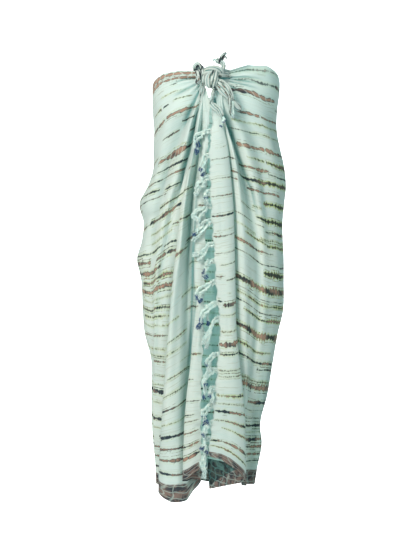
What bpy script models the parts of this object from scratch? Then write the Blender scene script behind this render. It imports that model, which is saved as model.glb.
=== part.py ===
# A sarong of thin rayon, wrapped once round and knotted at the bust, standing hollow.
# Metres, +Z up, front towards -Y. The origin is in the middle of the top opening, where it is held.
# Tables are in millimetres and are turned to metres by MM.

import bpy
import bmesh
import numpy as np
from math import pi
from mathutils import Vector

MM = 0.001

# Driving sizes of the cloth
CLOTH_THICK = 1.0
SEAM_GAP = 0.3
ROWS = 30
BACK_ROWS = 24
BACK_COLUMNS = 34
SIDE_ANGLE = 96.0
ROUNDNESS = 0.85
SHARPEST_FOLD = 0.4
ROW_SPREAD = 1.25
BACK_DIP = 0.5

# Creases are flat at the top edge and reach their full depth this far below it
KNOT_FADE = 110.0
FADE_LEAD = 3.0
FADE_LEAST = 0.05
FADE_POWER = 1.5

# The hollow form: height, left and right outline, how far the front and the back stand from the middle
FORM = (
    (60, -153, 170, 108, 100),
    (0, -154, 170, 112, 98),
    (-60, -153, 163, 119, 93),
    (-100, -150, 163, 118, 90),
    (-150, -152, 172, 115, 88),
    (-200, -152, 182, 113, 90),
    (-245, -166, 186, 112, 95),
    (-290, -188, 182, 113, 102),
    (-340, -177, 178, 115, 110),
    (-385, -182, 179, 117, 117),
    (-430, -194, 181, 118, 121),
    (-480, -184, 181, 118, 122),
    (-560, -179, 179, 115, 118),
    (-620, -174, 166, 111, 112),
    (-690, -156, 153, 106, 106),
    (-780, -155, 138, 101, 100),
    (-850, -154, 120, 98, 96),
    (-900, -150, 125, 96, 94),
    (-960, -145, 113, 94, 92),
    (-1035, -143, 100, 92, 90),
)

# Thread lines that the creases, fold edges and ridges of the front follow. Each row gives the line's name,
# the heights where it starts and ends, its place across at each of HEIGHTS, and how far it stands proud of
# the form (or sinks in) at each of DEPTH_HEIGHTS.
HEIGHTS = (50, 0, -50, -100, -150, -200, -300, -400, -500, -600, -700, -800, -900, -1000)
DEPTH_HEIGHTS = (0, -100, -200, -350, -600, -800, -1000)
LEFT_LINES = (
    ("soft_valley", 32, -1010,
     (-31, -35, -55, -81, -101, -120, -139, -152, -155, -153, -152, -153, -149, -144),
     (-1, -6, -5, -3, -1, -2, -2)),
    ("soft_ridge", 26, -1013,
     (-29.5, -33, -46, -64, -79, -96, -122, -138, -147, -147, -147, -150, -147, -143),
     (0, 4, 4, 3, 2, 1, 1)),
    ("deep_valley", 21, -1016,
     (-28.5, -31, -37.5, -48, -57, -71, -102, -121, -134, -139, -141, -145, -144, -142),
     (-1, -8, -9, -6, -2, -3, -4)),
    ("small_ridge", 16, -1020,
     (-27.5, -29.8, -35, -44.5, -53, -67, -93, -109, -120, -128, -132, -138, -140, -140),
     (0, 0, -1, -1, -3, -5, -6)),
    ("under_ridge", 12, -1026,
     (-26.8, -28.8, -33, -42, -51, -64, -81, -87, -99, -107, -115, -122, -129, -134),
     (0, 2, 2, -6, -10, -10, -10)),
    ("left_edge", 8, -1029,
     (-26, -27.8, -31.5, -39.5, -48, -61, -80, -92, -105, -113, -121, -128, -135, -139),
     (0, 3, 4, -1, -2, -2, -2)),
    ("main_ridge", 5, -1031,
     (-25.3, -26.8, -30, -36, -44, -54, -70, -80, -93, -102, -108, -113, -118, -120),
     (0, 3, 5, 6, 7, 6, 6)),
    ("shoulder", 2, -1032,
     (-24.6, -25.8, -28, -33, -41, -50, -64, -72, -80, -86, -88, -90, -91, -92),
     (0, 0, -1, 1, 4, 4, 4)),
    ("centre_valley", 0, -1029,
     (-24, -25, -26, -31, -38, -46, -58, -64, -68, -70, -69, -70, -71, -72),
     (-1, -7, -11, -12, -11, -11, -10)),
    ("inner_turn", -2, -985,
     (-23.4, -24.3, -24.3, -28.5, -35, -42, -54, -61, -64, -62, -56, -48, -38, -30),
     (0, -5, -8, -10, -11, -11, -10)),
    ("outer_turn", -4, -982,
     (-22.8, -23.6, -22.8, -26, -31, -38, -50, -57, -60, -58, -53, -46, -37, -29),
     (0, -3, -5, -7, -7, -5, -5)),
    ("panel_under", -6, -980,
     (-22.2, -22.9, -20.5, -23.5, -28, -35, -46, -53, -55, -52, -58, -58, -56, -52),
     (0, -1, -3, -4, -4, -5, -5)),
    ("panel_edge", -7, -977,
     (-21.6, -22, -17, -20, -25, -32, -42, -49, -49, -42, -58, -70, -75, -78),
     (0, 0, 0, -1, -1, -1, -1)),
    ("panel_middle", -8, -970,
     (-21, -21, -13, -16, -20, -25, -31, -36, -37, -35, -44, -52, -55, -57),
     (0, 1, 2, 2, 3, 4, 4)),
    ("left_end", -9, -953,
     (-20.4, -20, -9, -13, -14, -17, -19, -20, -22, -26, -29, -31, -31, -33),
     (0, 0, 0, 0, 1, 1, 1)),
)
RIGHT_LINES = (
    ("right_end", -15, -921,
     (-2, -2, -3, -3, -8, -8, -5, 2, 7, 16, 10, 2, -10, -14),
     (0, 2, 4, 4, 5, 5, 5)),
    ("right_panel_inner", -11, -919,
     (4, 4, 4, 7, 6, 9, 13, 19, 23, 30, 28, 24, 19, 18),
     (0, 4, 8, 8, 8, 8, 8)),
    ("right_panel_outer", -6, -948,
     (11, 11, 11, 16, 23, 28, 35, 39, 41, 44, 50, 56, 57, 58),
     (0, 4, 8, 9, 9, 9, 9)),
    ("right_edge", -1, -990,
     (16, 16, 17, 24, 35, 41, 49, 52, 54, 56, 66, 76, 78, 80),
     (0, 2, 3, 4, 4, 4, 4)),
    ("under_right", 3, -992,
     (18, 18, 19, 25, 33, 39, 46, 50, 52, 54, 64, 74, 78, 81),
     (0, -2, -5, -5, -5, -4, -2)),
    ("slim_ridge", 8, -992,
     (20, 20, 22, 31, 45, 55, 66, 72, 76, 80, 84, 87, 87, 85),
     (1, 4, 5, 4, 2, -2, -4)),
    ("dark_valley", 15, -992,
     (21, 22, 27, 38, 57, 70, 94, 110, 114, 112, 106, 99, 96, 90),
     (-2, -9, -9, -4, -2, -2, -3)),
    ("upper_ridge", 22, -991,
     (22, 24, 40, 58, 76, 90, 112, 124, 128, 124, 117, 106, 102, 94),
     (0, 3, 3, 2, 2, 1, 0)),
    ("upper_valley", 30, -990,
     (23, 32, 62, 92, 110, 122, 134, 140, 142, 138, 128, 113, 108, 98),
     (-1, -6, -3, -1, 0, 0, 0)),
)

# Plain thread lines between the outermost crease and the side: how far round from the side towards that
# crease, the height of the top edge there, the height of the hem, and the swell at the top and lower down
LEFT_FIELD = ((0.25, 22, -1010, 1, 0), (0.5, 36, -1014, 2, 1), (0.75, 33, -1014, 2, 2))
RIGHT_FIELD = ((0.25, 33, -988, 1, 0), (0.5, 45, -988, 2, 1), (0.75, 44, -989, 2, 2))
LEFT_SIDE = (0, -1008)
RIGHT_SIDE = (-2, -987)
BACK_TOP = -8
BACK_HEM = -1000

# Soft upright folds of the back: angle round from the front, width in degrees, depth at the waist and hem, lean
FOLD_START = -60.0
FOLD_RUN = 900.0
FOLD_WAIST = 4.0
FOLD_SHARP = 2.2
FOLD_SWELL = 3.0
FOLD_MARGIN = 12.0
BACK_FOLDS = (
    (116, 8, 3, 14, 3),
    (136, 10, 5, 24, -2),
    (157, 8, 3, 18, 2),
    (179, 11, 6, 27, -3),
    (202, 9, 3, 20, 3),
    (225, 11, 5, 25, 0),
    (246, 8, 3, 14, -2),
)

# Corner of the right end that hangs turned under: its free edge and the fold that runs slanting across it
FLAP_ROWS = 7
FLAP_COLUMNS = 12
FLAP_TOP = (-15, -951, -7)
FLAP_TIP = (-11, -1002, -1)
FLAP_FROM = 2.0
FLAP_TO = 2.5
FLAP_STEP = 0.04
FLAP_TUCK = (0.98, 0.99, 1.0)
FLAP_RIDGE = 2.0
FLAP_RIDGE_WIDE = 0.16
FLAP_HOLLOW = 2.0

# Fringe of the two short ends. Each row is one tied bundle: height of its root, then how far across and how
# far down it goes by its first bend, its second bend and its end
FRINGE_ROOT = 2.4
FRINGE_PITCH = 6.2
SECOND_INSIDE = 4.6
SECOND_LEAST = 7.0
FRINGE_WIDTHS = (1, 1.2, 1.4, 1.4, 1.1, 0.6)
LOCK_LEAVE = 1.2
STRIP_WIDE = 2.6
STRIP_THICK = 1.6
STRIP_HEAD = 8.0
STRIP_FOOT = 5.0
STRIP_STEP = 30.0
STRIP_GAP = 36.0
RIGHT_FRINGE = (
    (-112, -20, 4, -38, 22, -33, 45),
    (-172, -12, 5, -20, 26, -18, 42),
    (-226, -14, 5, -28, 22, -36, 36),
    (-262, -9, 4, -12, 13, -11, 20),
    (-298, -15, 5, -36, 24, -31, 38),
    (-334, -16, 7, -33, 28, -42, 38),
    (-391, -16, 6, -35, 26, -46, 32),
    (-434, -14, 5, -24, 20, -23, 32),
    (-485, -16, 6, -36, 22, -36, 44),
    (-537, -17, 7, -39, 30, -43, 52),
    (-575, -13, 5, -30, 40, -34, 70),
    (-664, -14, 5, -24, 18, -23, 34),
    (-703, -16, 5, -30, 26, -27, 44),
    (-749, -9, 3, -12, 14, -11, 25),
    (-792, -14, 5, -24, 20, -23, 34),
    (-834, -12, 5, -20, 22, -22, 36),
    (-874, -9, 4, -13, 16, -15, 27),
    (-909, -9, 4, -12, 30, -10, 56),
)
LEFT_FRINGE = (
    (-545, 7, 6, 9, 26, 7, 54),
    (-612, 6, 6, 7, 24, 5, 44),
    (-735, 6, 6, 7, 24, 5, 42),
    (-808, 6, 6, 7, 22, 5, 38),
    (-862, 6, 6, 7, 20, 6, 36),
    (-905, 6, 6, 8, 26, 6, 52),
)

# The knot and the four ends that leave it. Points are across, height and how far ahead of the form; then
# the half width and half depth there
KNOT_WRAP = (
    (-28, 20.5, 2.1, 5, 4),
    (-21, 26, 6.4, 8, 7),
    (-10, 29, 13, 10, 10),
    (4, 31, 14, 10, 10),
    (14, 32, 10, 8, 8),
    (19.4, 31, 4.4, 5, 4),
)
KNOT_DROP = (
    (0, 16, 13, 11, 7),
    (-2, 6, 14, 14, 10),
    (-3, -3, 12, 12, 9),
    (0, -11, 9, 8, 6),
    (2, -16, 7, 4, 4),
)
TAILS = {
    "tail_upper_left": (
        (-27.6, 33, 6.4, 4, 4),
        (-33, 42, 8, 5, 4),
        (-40, 49, 10, 5, 5),
        (-47, 45, 12, 5, 5),
        (-47, 34, 13, 5, 4),
        (-43, 24, 12, 5, 4),
    ),
    "tail_upper_right": (
        (21.4, 37.4, 4.6, 5, 4),
        (26, 46, 7, 4, 4),
        (23, 55, 8, 4, 4),
        (21, 62, 8, 4, 3),
    ),
    "tail_lower_right": (
        (14, 1, 13, 5, 4),
        (20, -8, 15, 10, 5),
        (29, -20, 16, 12, 5),
        (38, -32, 15, 10, 5),
        (44, -41, 13, 7, 4),
    ),
    "tail_centre": (
        (1, -19, 7, 3, 3),
        (-4, -34, 9, 3, 3),
        (-6, -46, 11, 4, 3),
        (1, -56, 13, 6, 4),
        (11, -64, 14, 6, 4),
        (19, -75, 13, 5, 4),
    ),
}
# Loose yarn ends of each tail: where each ends, as across, down and out from the end of the tail
END_INSET = 0.6
END_LEAVE = 4.0
END_WIDTHS = (1, 0.9, 0.85, 0.85, 0.8, 0.6, 0.35)
TAIL_ENDS = {
    "tail_upper_left": ((-3, 18, 0), (0, 24, 2), (3, 17, 0)),
    "tail_upper_right": ((9, -7, 0), (4, -12, 1), (-12, -2, 0)),
    "tail_lower_right": ((-2, 34, 0), (6, 40, 1), (20, 24, 0)),
    "tail_centre": ((-5, 26, 0), (2, 16, 2), (7, 11, 0)),
}

AQUA = (0.60, 0.76, 0.72)
HEM_BROWN = (0.36, 0.34, 0.29)
FRINGE_AQUA = (0.66, 0.80, 0.76)


def through(stations, values, at):
    """Smooth curve through values at falling stations, read at the heights in at."""
    xs = -np.asarray(stations, float)
    ys = np.asarray(values, float)
    x = np.clip(-np.asarray(at, float), xs[0], xs[-1])
    steps = np.diff(ys) / np.diff(xs)
    slopes = np.concatenate(([steps[0]], (steps[:-1] + steps[1:]) / 2, [steps[-1]]))
    i = np.clip(np.searchsorted(xs, x) - 1, 0, len(xs) - 2)
    h = xs[i + 1] - xs[i]
    t = (x - xs[i]) / h
    return (
        ys[i] * (1 + 2 * t) * (1 - t) ** 2
        + ys[i + 1] * t * t * (3 - 2 * t)
        + slopes[i] * h * t * (1 - t) ** 2
        + slopes[i + 1] * h * t * t * (t - 1)
    )


def form(z):
    """Middle, half width, front reach and back reach of the hollow form at heights z."""
    heights = [row[0] for row in FORM]
    left, right, front, back = (through(heights, [row[i] for row in FORM], z) for i in (1, 2, 3, 4))
    return (left + right) / 2, (right - left) / 2, front, back


def on_form(angle, proud, z):
    """Points at an angle round from the front, standing proud of the form, as an array of x, y, z."""
    middle, wide, front, back = form(z)
    c = np.cos(angle)
    s = np.sin(angle)
    reach = np.where(c >= 0, front, back)
    power = np.maximum(np.abs(c), 1e-4) ** ROUNDNESS
    slope = reach * ROUNDNESS * np.maximum(np.abs(c), 1e-4) ** (ROUNDNESS - 1) * s
    out_x, out_y = slope, -wide * c
    length = np.hypot(out_x, out_y)
    x = middle + wide * s + proud * out_x / length
    y = -np.sign(c) * reach * power + proud * out_y / length
    return np.stack([x, y, z + 0 * x], axis=-1)


def angle_of(x, z):
    """Angle round from the front of a place across."""
    middle, wide = form(z)[:2]
    return np.arcsin(np.clip((x - middle) / wide, -0.999, 0.999))


def fade(top, z):
    """Share of a crease's depth at heights z, on a line that starts at the height top."""
    return np.clip((top + FADE_LEAD - z) / KNOT_FADE, FADE_LEAST, 1) ** FADE_POWER


def line(row):
    """A thread line from its table row: its top, its hem, and functions for its angle and its relief."""
    top, hem, across, proud = row[1:]

    def angle(z):
        return angle_of(through(HEIGHTS, across, z), z)

    def relief(z):
        return through(DEPTH_HEIGHTS, proud, z) * fade(top, z)

    return top, hem, angle, relief


def side_line(sign, ends):
    """The thread line on the outline, where the front meets the back."""
    top, hem = ends
    return top, hem, lambda z: sign * np.radians(SIDE_ANGLE) + 0 * z, lambda z: 0 * z


def field_line(row, sign, crease):
    """A plain thread line part of the way from the side to the outermost crease."""
    part, top, hem, swell_top, swell_low = row

    def angle(z):
        side = sign * np.radians(SIDE_ANGLE)
        return side + part * (crease[2](z) - side)

    def relief(z):
        return through((60, -150, -1040), (swell_top, swell_low, swell_low), z)

    return top, hem, angle, relief


def front_lines():
    """All thread lines of the left and of the right front, in order from left to right."""
    left = [line(row) for row in LEFT_LINES]
    right = [line(row) for row in RIGHT_LINES]
    left = [side_line(-1, LEFT_SIDE)] + [field_line(r, -1, left[0]) for r in LEFT_FIELD] + left
    right = right + [field_line(r, 1, right[-1]) for r in reversed(RIGHT_FIELD)] + [side_line(1, RIGHT_SIDE)]
    return left, right


def centripetal(points, t):
    """Point between the middle two of four, on a smooth curve that makes no loops."""
    p0, p1, p2, p3 = points
    gaps = [np.maximum(np.sqrt(np.linalg.norm(b - a, axis=-1, keepdims=True)), 1e-3)
            for a, b in ((p0, p1), (p1, p2), (p2, p3))]
    t0 = 0 * gaps[0]
    t1 = t0 + gaps[0]
    t2 = t1 + gaps[1]
    t3 = t2 + gaps[2]
    u = t1 + t * gaps[1]
    a1 = ((t1 - u) * p0 + (u - t0) * p1) / (t1 - t0)
    a2 = ((t2 - u) * p1 + (u - t1) * p2) / (t2 - t1)
    a3 = ((t3 - u) * p2 + (u - t2) * p3) / (t3 - t2)
    b1 = ((t2 - u) * a1 + (u - t0) * a2) / (t2 - t0)
    b2 = ((t3 - u) * a2 + (u - t1) * a3) / (t3 - t1)
    return ((t2 - u) * b1 + (u - t1) * b2) / (t2 - t1)


def front_column(lines, place, drop):
    """Outer points of one column of a front; place counts thread lines, drop runs 0 to 1 from top to hem."""
    last = len(lines) - 1
    i = min(int(place), last - 1)
    t = place - i
    ends = [(lines[k][0], lines[k][1]) for k in (i, i + 1)]
    top = ends[0][0] * (1 - t) + ends[1][0] * t
    hem = ends[0][1] * (1 - t) + ends[1][1] * t
    z = top + (hem - top) * drop
    round_mm = form(z)[1]

    def key(k):
        k_in = min(max(k, 0), last)
        angle, relief = lines[k_in][2:]
        point = np.stack([angle(z) * round_mm, relief(z)], axis=-1)
        if k == k_in:
            return point
        inner = key(1 if k < 0 else last - 1)
        return 2 * point - inner

    across = centripetal([key(i - 1), key(i), key(i + 1), key(i + 2)], t)
    return on_form(across[:, 0] / round_mm, across[:, 1], z)


def front_grid(lines, per_gap, rows):
    """Grid of outer points of one front, rows by columns."""
    drop = np.linspace(0, 1, rows) ** ROW_SPREAD
    places = []
    for i in range(len(lines) - 1):
        places += [i + j / per_gap for j in range(per_gap)]
    places.append(len(lines) - 1)
    return np.stack([front_column(lines, p, drop) for p in places], axis=1)


def back_relief(angle, z):
    """How far the back's folds sink in, nothing near the two side lines."""
    degrees = np.degrees(angle)
    grow = np.clip((FOLD_START - z) / FOLD_RUN, 0, 1)
    sink = 0 * degrees
    for at, width, waist, hem, lean in BACK_FOLDS:
        depth = waist * np.minimum(grow * FOLD_WAIST, 1) + (hem - waist) * grow
        sink = sink - depth * np.exp(-(((degrees - at - lean * grow) / width) ** 2) * FOLD_SHARP)
    first = np.clip((degrees - SIDE_ANGLE) / FOLD_MARGIN, 0, 1)
    last = np.clip((360 - SIDE_ANGLE - degrees) / FOLD_MARGIN, 0, 1)
    return (sink + FOLD_SWELL * grow) * first * last


def back_grid(columns, rows):
    """Grid of outer points of the back, from the right side line round to the left."""
    gap = np.degrees(2 * SEAM_GAP / FORM[-1][3])
    angles = np.radians(np.linspace(SIDE_ANGLE + gap, 360 - SIDE_ANGLE - gap, columns))
    part = np.linspace(0, 1, columns)
    dip = np.sin(pi * part)
    top = RIGHT_SIDE[0] + (LEFT_SIDE[0] - RIGHT_SIDE[0]) * part
    top = top + (BACK_TOP - top) * dip ** BACK_DIP
    hem = RIGHT_SIDE[1] + (LEFT_SIDE[1] - RIGHT_SIDE[1]) * part
    hem = hem + (BACK_HEM - hem) * dip
    drop = np.linspace(0, 1, rows)
    grid = []
    for angle, z0, z1 in zip(angles, top, hem):
        z = z0 + (z1 - z0) * drop
        grid.append(on_form(angle + 0 * z, back_relief(angle + 0 * z, z), z))
    return np.stack(grid, axis=1)


def material(name, colour, roughness=0.85):
    made = bpy.data.materials.new(name)
    made.use_nodes = True
    shader = made.node_tree.nodes["Principled BSDF"]
    shader.inputs["Base Color"].default_value = (*colour, 1)
    shader.inputs["Roughness"].default_value = roughness
    return made


def add_object(name, mesh, colour):
    made = bpy.data.objects.new(name, mesh)
    bpy.context.scene.collection.objects.link(made)
    mesh.materials.append(material(name, colour))
    mesh.shade_smooth()
    return made


def unit(vectors):
    return vectors / np.maximum(np.linalg.norm(vectors, axis=-1, keepdims=True), 1e-9)


def grid_normals(grid):
    """Outward directions at the points of a grid, lengthened at a sharp fold so that the wall stays even."""
    down = np.gradient(grid, axis=0)
    step = np.diff(grid, axis=1)
    before = unit(np.cross(down, np.concatenate([step[:, :1], step], axis=1)))
    after = unit(np.cross(down, np.concatenate([step, step[:, -1:]], axis=1)))
    middle = unit(before + after)
    lean = np.sum(middle * before, axis=-1, keepdims=True)
    return middle / np.maximum(lean, SHARPEST_FOLD)


def side_normal(column, sign):
    """Outward directions on a side line, the same for the front and the back that meet there."""
    angle = sign * np.radians(SIDE_ANGLE) + 0 * column[:, 2]
    return on_form(angle, 1, column[:, 2]) - on_form(angle, 0, column[:, 2])


def cloth(name, grid, sides=(0, 0), colour=AQUA, thick=CLOTH_THICK):
    """A wall of cloth whose outer face passes through a grid; sides tells which end columns meet a side line."""
    rows, columns = grid.shape[:2]
    normals = grid_normals(grid)
    for column, sign in zip((0, -1), sides):
        if sign:
            normals[:, column] = side_normal(grid[:, column], sign)
    inner = grid - normals * thick
    vertices = list(grid.reshape(-1, 3)) + list(inner.reshape(-1, 3))
    offset = rows * columns
    faces = []
    for r in range(rows - 1):
        for c in range(columns - 1):
            a = r * columns + c
            quad = (a, a + columns, a + columns + 1, a + 1)
            faces.append(quad)
            faces.append(tuple(offset + v for v in reversed(quad)))
    for c in range(columns - 1):
        top, low = c, (rows - 1) * columns + c
        faces.append((top, top + 1, offset + top + 1, offset + top))
        faces.append((low + 1, low, offset + low, offset + low + 1))
    for r in range(rows - 1):
        first, last = r * columns, r * columns + columns - 1
        faces.append((first + columns, first, offset + first, offset + first + columns))
        faces.append((last, last + columns, offset + last + columns, offset + last))
    mesh = bpy.data.meshes.new(name)
    mesh.from_pydata([tuple(float(c) * MM for c in v) for v in vertices], [], faces)
    return add_object(name, mesh, colour)


def ahead(x, z, lift):
    """A point in front of the form at a place across and a height."""
    x, z = np.asarray(float(x)), np.asarray(float(z))
    return Vector(on_form(angle_of(x, z), lift, z))


def turn_to(old, new):
    return old.rotation_difference(new).to_matrix()


def add_rings(bm, ring, centre, facing, path, sizes):
    """Carries a ring of vertices along a path and leaves the last ring open; returns it."""
    offsets = [v.co - centre for v in ring]
    points = [centre] + list(path)
    turned = facing
    for i in range(1, len(points)):
        after = points[min(i + 1, len(points) - 1)]
        way = (after - points[i - 1]).normalized()
        turn = turn_to(turned, way)
        offsets = [turn @ o for o in offsets]
        turned = way
        size = sizes[min(i, len(sizes) - 1)]
        new = [bm.verts.new(points[i] + o * size) for o in offsets]
        for k in range(len(ring)):
            n = (k + 1) % len(ring)
            bm.faces.new((ring[k], ring[n], new[n], new[k]))
        ring = new
    return ring


def add_lock(bm, face, path, sizes):
    """Grows a lock of yarn from a face of its backing, along a path."""
    ring = list(face.verts)
    centre = face.calc_center_median()
    face.normal_update()
    facing = face.normal.copy()
    bm.faces.remove(face)
    bm.faces.new(add_rings(bm, ring, centre, facing, path, sizes))


def bend(points, steps):
    """Points on a smooth curve through a few given ones."""
    known = np.array([tuple(p) for p in points], float)
    known = np.vstack([2 * known[0] - known[1], known, 2 * known[-1] - known[-2]])
    out = []
    for i in range(len(points) - 1):
        for k in range(steps):
            part = [known[i + j][None] for j in range(4)]
            out.append(Vector(centripetal(part, k / steps)[0]))
    return out + [Vector(known[-2])]


def finish_mesh(name, bm, colour):
    bmesh.ops.recalc_face_normals(bm, faces=bm.faces)
    bmesh.ops.scale(bm, vec=(MM, MM, MM), verts=bm.verts)
    mesh = bpy.data.meshes.new(name)
    bm.to_mesh(mesh)
    bm.free()
    return add_object(name, mesh, colour)


def bundle(name, stations, ends=(), sides=8, flute=0.14, colour=AQUA):
    """A gathered end of the cloth: rings along stations, folded into flutes, with loose yarn ends."""
    bm = bmesh.new()
    centres = [ahead(*row[:3]) for row in stations]
    rings = []
    for i, row in enumerate(stations):
        way = (centres[min(i + 1, len(centres) - 1)] - centres[max(i - 1, 0)]).normalized()
        across = way.cross(Vector((0, -1, 0))).normalized()
        out = across.cross(way)
        ring = []
        for k in range(sides):
            a = 2 * pi * k / sides
            swell = 1 + flute * (-1) ** k
            offset = across * row[3] * np.cos(a) + out * row[4] * np.sin(a)
            ring.append(bm.verts.new(centres[i] + offset * swell))
        rings.append(ring)
    for a, b in zip(rings, rings[1:]):
        for k in range(sides):
            n = (k + 1) % sides
            bm.faces.new((a[k], a[n], b[n], b[k]))
    bm.faces.new(list(reversed(rings[0])))
    last = rings[-1]
    if ends:
        half = sides // 2
        caps = [bm.faces.new((last[k], last[k + 1], last[sides - 2 - k], last[sides - 1 - k]))
                for k in range(half - 1)]
        bmesh.ops.recalc_face_normals(bm, faces=bm.faces)
        bmesh.ops.inset_individual(bm, faces=caps, thickness=END_INSET)
        for face, (dx, down, out_by) in zip(caps, ends):
            start = face.calc_center_median()
            first = start + face.normal * END_LEAVE
            goal = start + Vector((dx, -out_by, -down))
            path = bend((start, first, first.lerp(goal, 0.5) + face.normal, goal), 2)[1:]
            add_lock(bm, face, path, END_WIDTHS)
    else:
        bm.faces.new(last)
    return finish_mesh(name, bm, colour)


def end_point(row, z):
    """Across and relief of a fringed end at a height."""
    top, across, proud = row[1], row[3], row[4]
    return float(through(HEIGHTS, across, z)), float(through(DEPTH_HEIGHTS, proud, z) * fade(top, z))


def fringe(name, row, bundles, side, lift, locks):
    """Tied bundles of fringe along one end of the cloth, fused to a narrow strip that lies beside the edge."""
    bm = bmesh.new()
    roots = []
    for b in bundles:
        roots += [(b[0] - FRINGE_PITCH * k, b) for k in range(locks)]
    roots.sort(key=lambda r: -r[0])
    levels = []
    marks = {}
    top = roots[0][0] + STRIP_HEAD
    for height, b in roots:
        high, low = height + FRINGE_ROOT / 2, height - FRINGE_ROOT / 2
        while levels and levels[-1] - high > STRIP_GAP:
            levels.append(levels[-1] - STRIP_STEP)
        if not levels:
            levels.append(top)
        levels.append(high)
        marks[len(levels) - 1] = (height, b)
        levels.append(low)
    levels.append(levels[-1] - STRIP_FOOT)
    rings = []
    for z in levels:
        x, proud = end_point(row, z)
        near = x + side * 2 * SEAM_GAP
        far = near + side * STRIP_WIDE
        back, front = proud - STRIP_THICK, proud
        corners = [(near, front), (far, front), (far, back), (near, back)]
        rings.append([bm.verts.new(ahead(cx, z, lift_by)) for cx, lift_by in corners])
    bm.faces.new(rings[0])
    grown = []
    for i, (a, b) in enumerate(zip(rings, rings[1:])):
        for k in range(4):
            n = (k + 1) % 4
            face = bm.faces.new((a[k], b[k], b[n], a[n]))
            if k == 1 and i in marks:
                grown.append((face, marks[i]))
    bm.faces.new(list(reversed(rings[-1])))
    bmesh.ops.recalc_face_normals(bm, faces=bm.faces)
    for face, (height, b) in grown:
        second = height != b[0]
        x, proud = end_point(row, height)
        start = face.calc_center_median()
        points = [start, start + face.normal * LOCK_LEAVE]
        for k, raised in zip((1, 3, 5), lift):
            reach = side * max(abs(b[k]) - SECOND_INSIDE, SECOND_LEAST) if second else b[k]
            fall = b[k + 1] + (FRINGE_PITCH + k if second else 0)
            points.append(ahead(x + side * STRIP_WIDE + reach, b[0] - fall, proud + raised))
        add_lock(bm, face, bend(points, 2)[2:], FRINGE_WIDTHS)
    return finish_mesh(name, bm, FRINGE_AQUA)


def flap_grid(lines):
    """Grid of the turned-under corner: its right edge is tucked behind the slanting hem of the right front."""
    grid = []
    for r in range(FLAP_ROWS):
        part = r / (FLAP_ROWS - 1)
        place = FLAP_FROM + (FLAP_TO - FLAP_FROM) * part
        drops = np.array(FLAP_TUCK)
        near = np.stack([front_column(lines, place + d, drops) for d in (-FLAP_STEP, 0, FLAP_STEP)], axis=1)
        right = Vector(near[1, 1] - grid_normals(near)[1, 1] * (CLOTH_THICK + 2 * SEAM_GAP))
        x = FLAP_TOP[0] + (FLAP_TIP[0] - FLAP_TOP[0]) * part
        z = FLAP_TOP[1] + (FLAP_TIP[1] - FLAP_TOP[1]) * part
        left = ahead(x, z, FLAP_TOP[2] + (FLAP_TIP[2] - FLAP_TOP[2]) * part)
        row = []
        for c in range(FLAP_COLUMNS):
            u = c / (FLAP_COLUMNS - 1)
            point = left.lerp(right, u)
            ridge = np.exp(-(((u + part - 1) / FLAP_RIDGE_WIDE) ** 2)) * np.sin(pi * u)
            point.y -= FLAP_RIDGE * ridge - FLAP_HOLLOW * np.sin(pi * u) * (1 - part)
            row.append(tuple(point))
        grid.append(row)
    return np.array(grid)


def clear_scene():
    for thing in list(bpy.data.objects):
        bpy.data.objects.remove(thing, do_unlink=True)


def main():
    clear_scene()
    left, right = front_lines()
    cloth("left_front", front_grid(left, 2, ROWS), (-1, 0))
    cloth("right_front", front_grid(right, 2, ROWS), (0, 1))
    cloth("back", back_grid(BACK_COLUMNS, BACK_ROWS), (1, -1))
    cloth("corner_flap", flap_grid(right), colour=HEM_BROWN)
    bundle("knot_wrap", KNOT_WRAP, sides=12)
    bundle("knot_drop", KNOT_DROP, sides=12)
    for name, stations in TAILS.items():
        bundle(name, stations, TAIL_ENDS[name])
    fringe("fringe_right", RIGHT_LINES[0], RIGHT_FRINGE, -1, (4, 7, 6), 2)
    fringe("fringe_left", LEFT_LINES[-1], LEFT_FRINGE, 1, (-1, -2, -2), 1)


main()
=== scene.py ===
# A sarong of thin rayon in pale aqua with brown tie-dye stripes, wrapped once round and knotted at the bust.
# Lengths in the tables are millimetres; mm turns them to metres. Front towards -Y, up along +Z.
from math import pi, radians

import bmesh
import bpy
import numpy as np
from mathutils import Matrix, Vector


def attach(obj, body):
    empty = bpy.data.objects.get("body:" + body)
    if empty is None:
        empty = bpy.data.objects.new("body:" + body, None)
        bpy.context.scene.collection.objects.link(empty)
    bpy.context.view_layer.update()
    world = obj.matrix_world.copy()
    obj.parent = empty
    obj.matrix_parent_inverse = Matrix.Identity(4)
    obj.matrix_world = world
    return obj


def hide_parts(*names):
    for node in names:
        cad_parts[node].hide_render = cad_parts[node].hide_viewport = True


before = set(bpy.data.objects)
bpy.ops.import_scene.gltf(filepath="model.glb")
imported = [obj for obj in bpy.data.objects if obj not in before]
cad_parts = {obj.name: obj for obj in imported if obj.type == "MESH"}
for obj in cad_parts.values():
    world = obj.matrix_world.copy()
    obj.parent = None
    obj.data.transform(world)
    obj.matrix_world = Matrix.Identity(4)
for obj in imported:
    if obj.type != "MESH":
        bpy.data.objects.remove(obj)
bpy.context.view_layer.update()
mm = 0.001
dice = np.random.default_rng(7)

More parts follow.
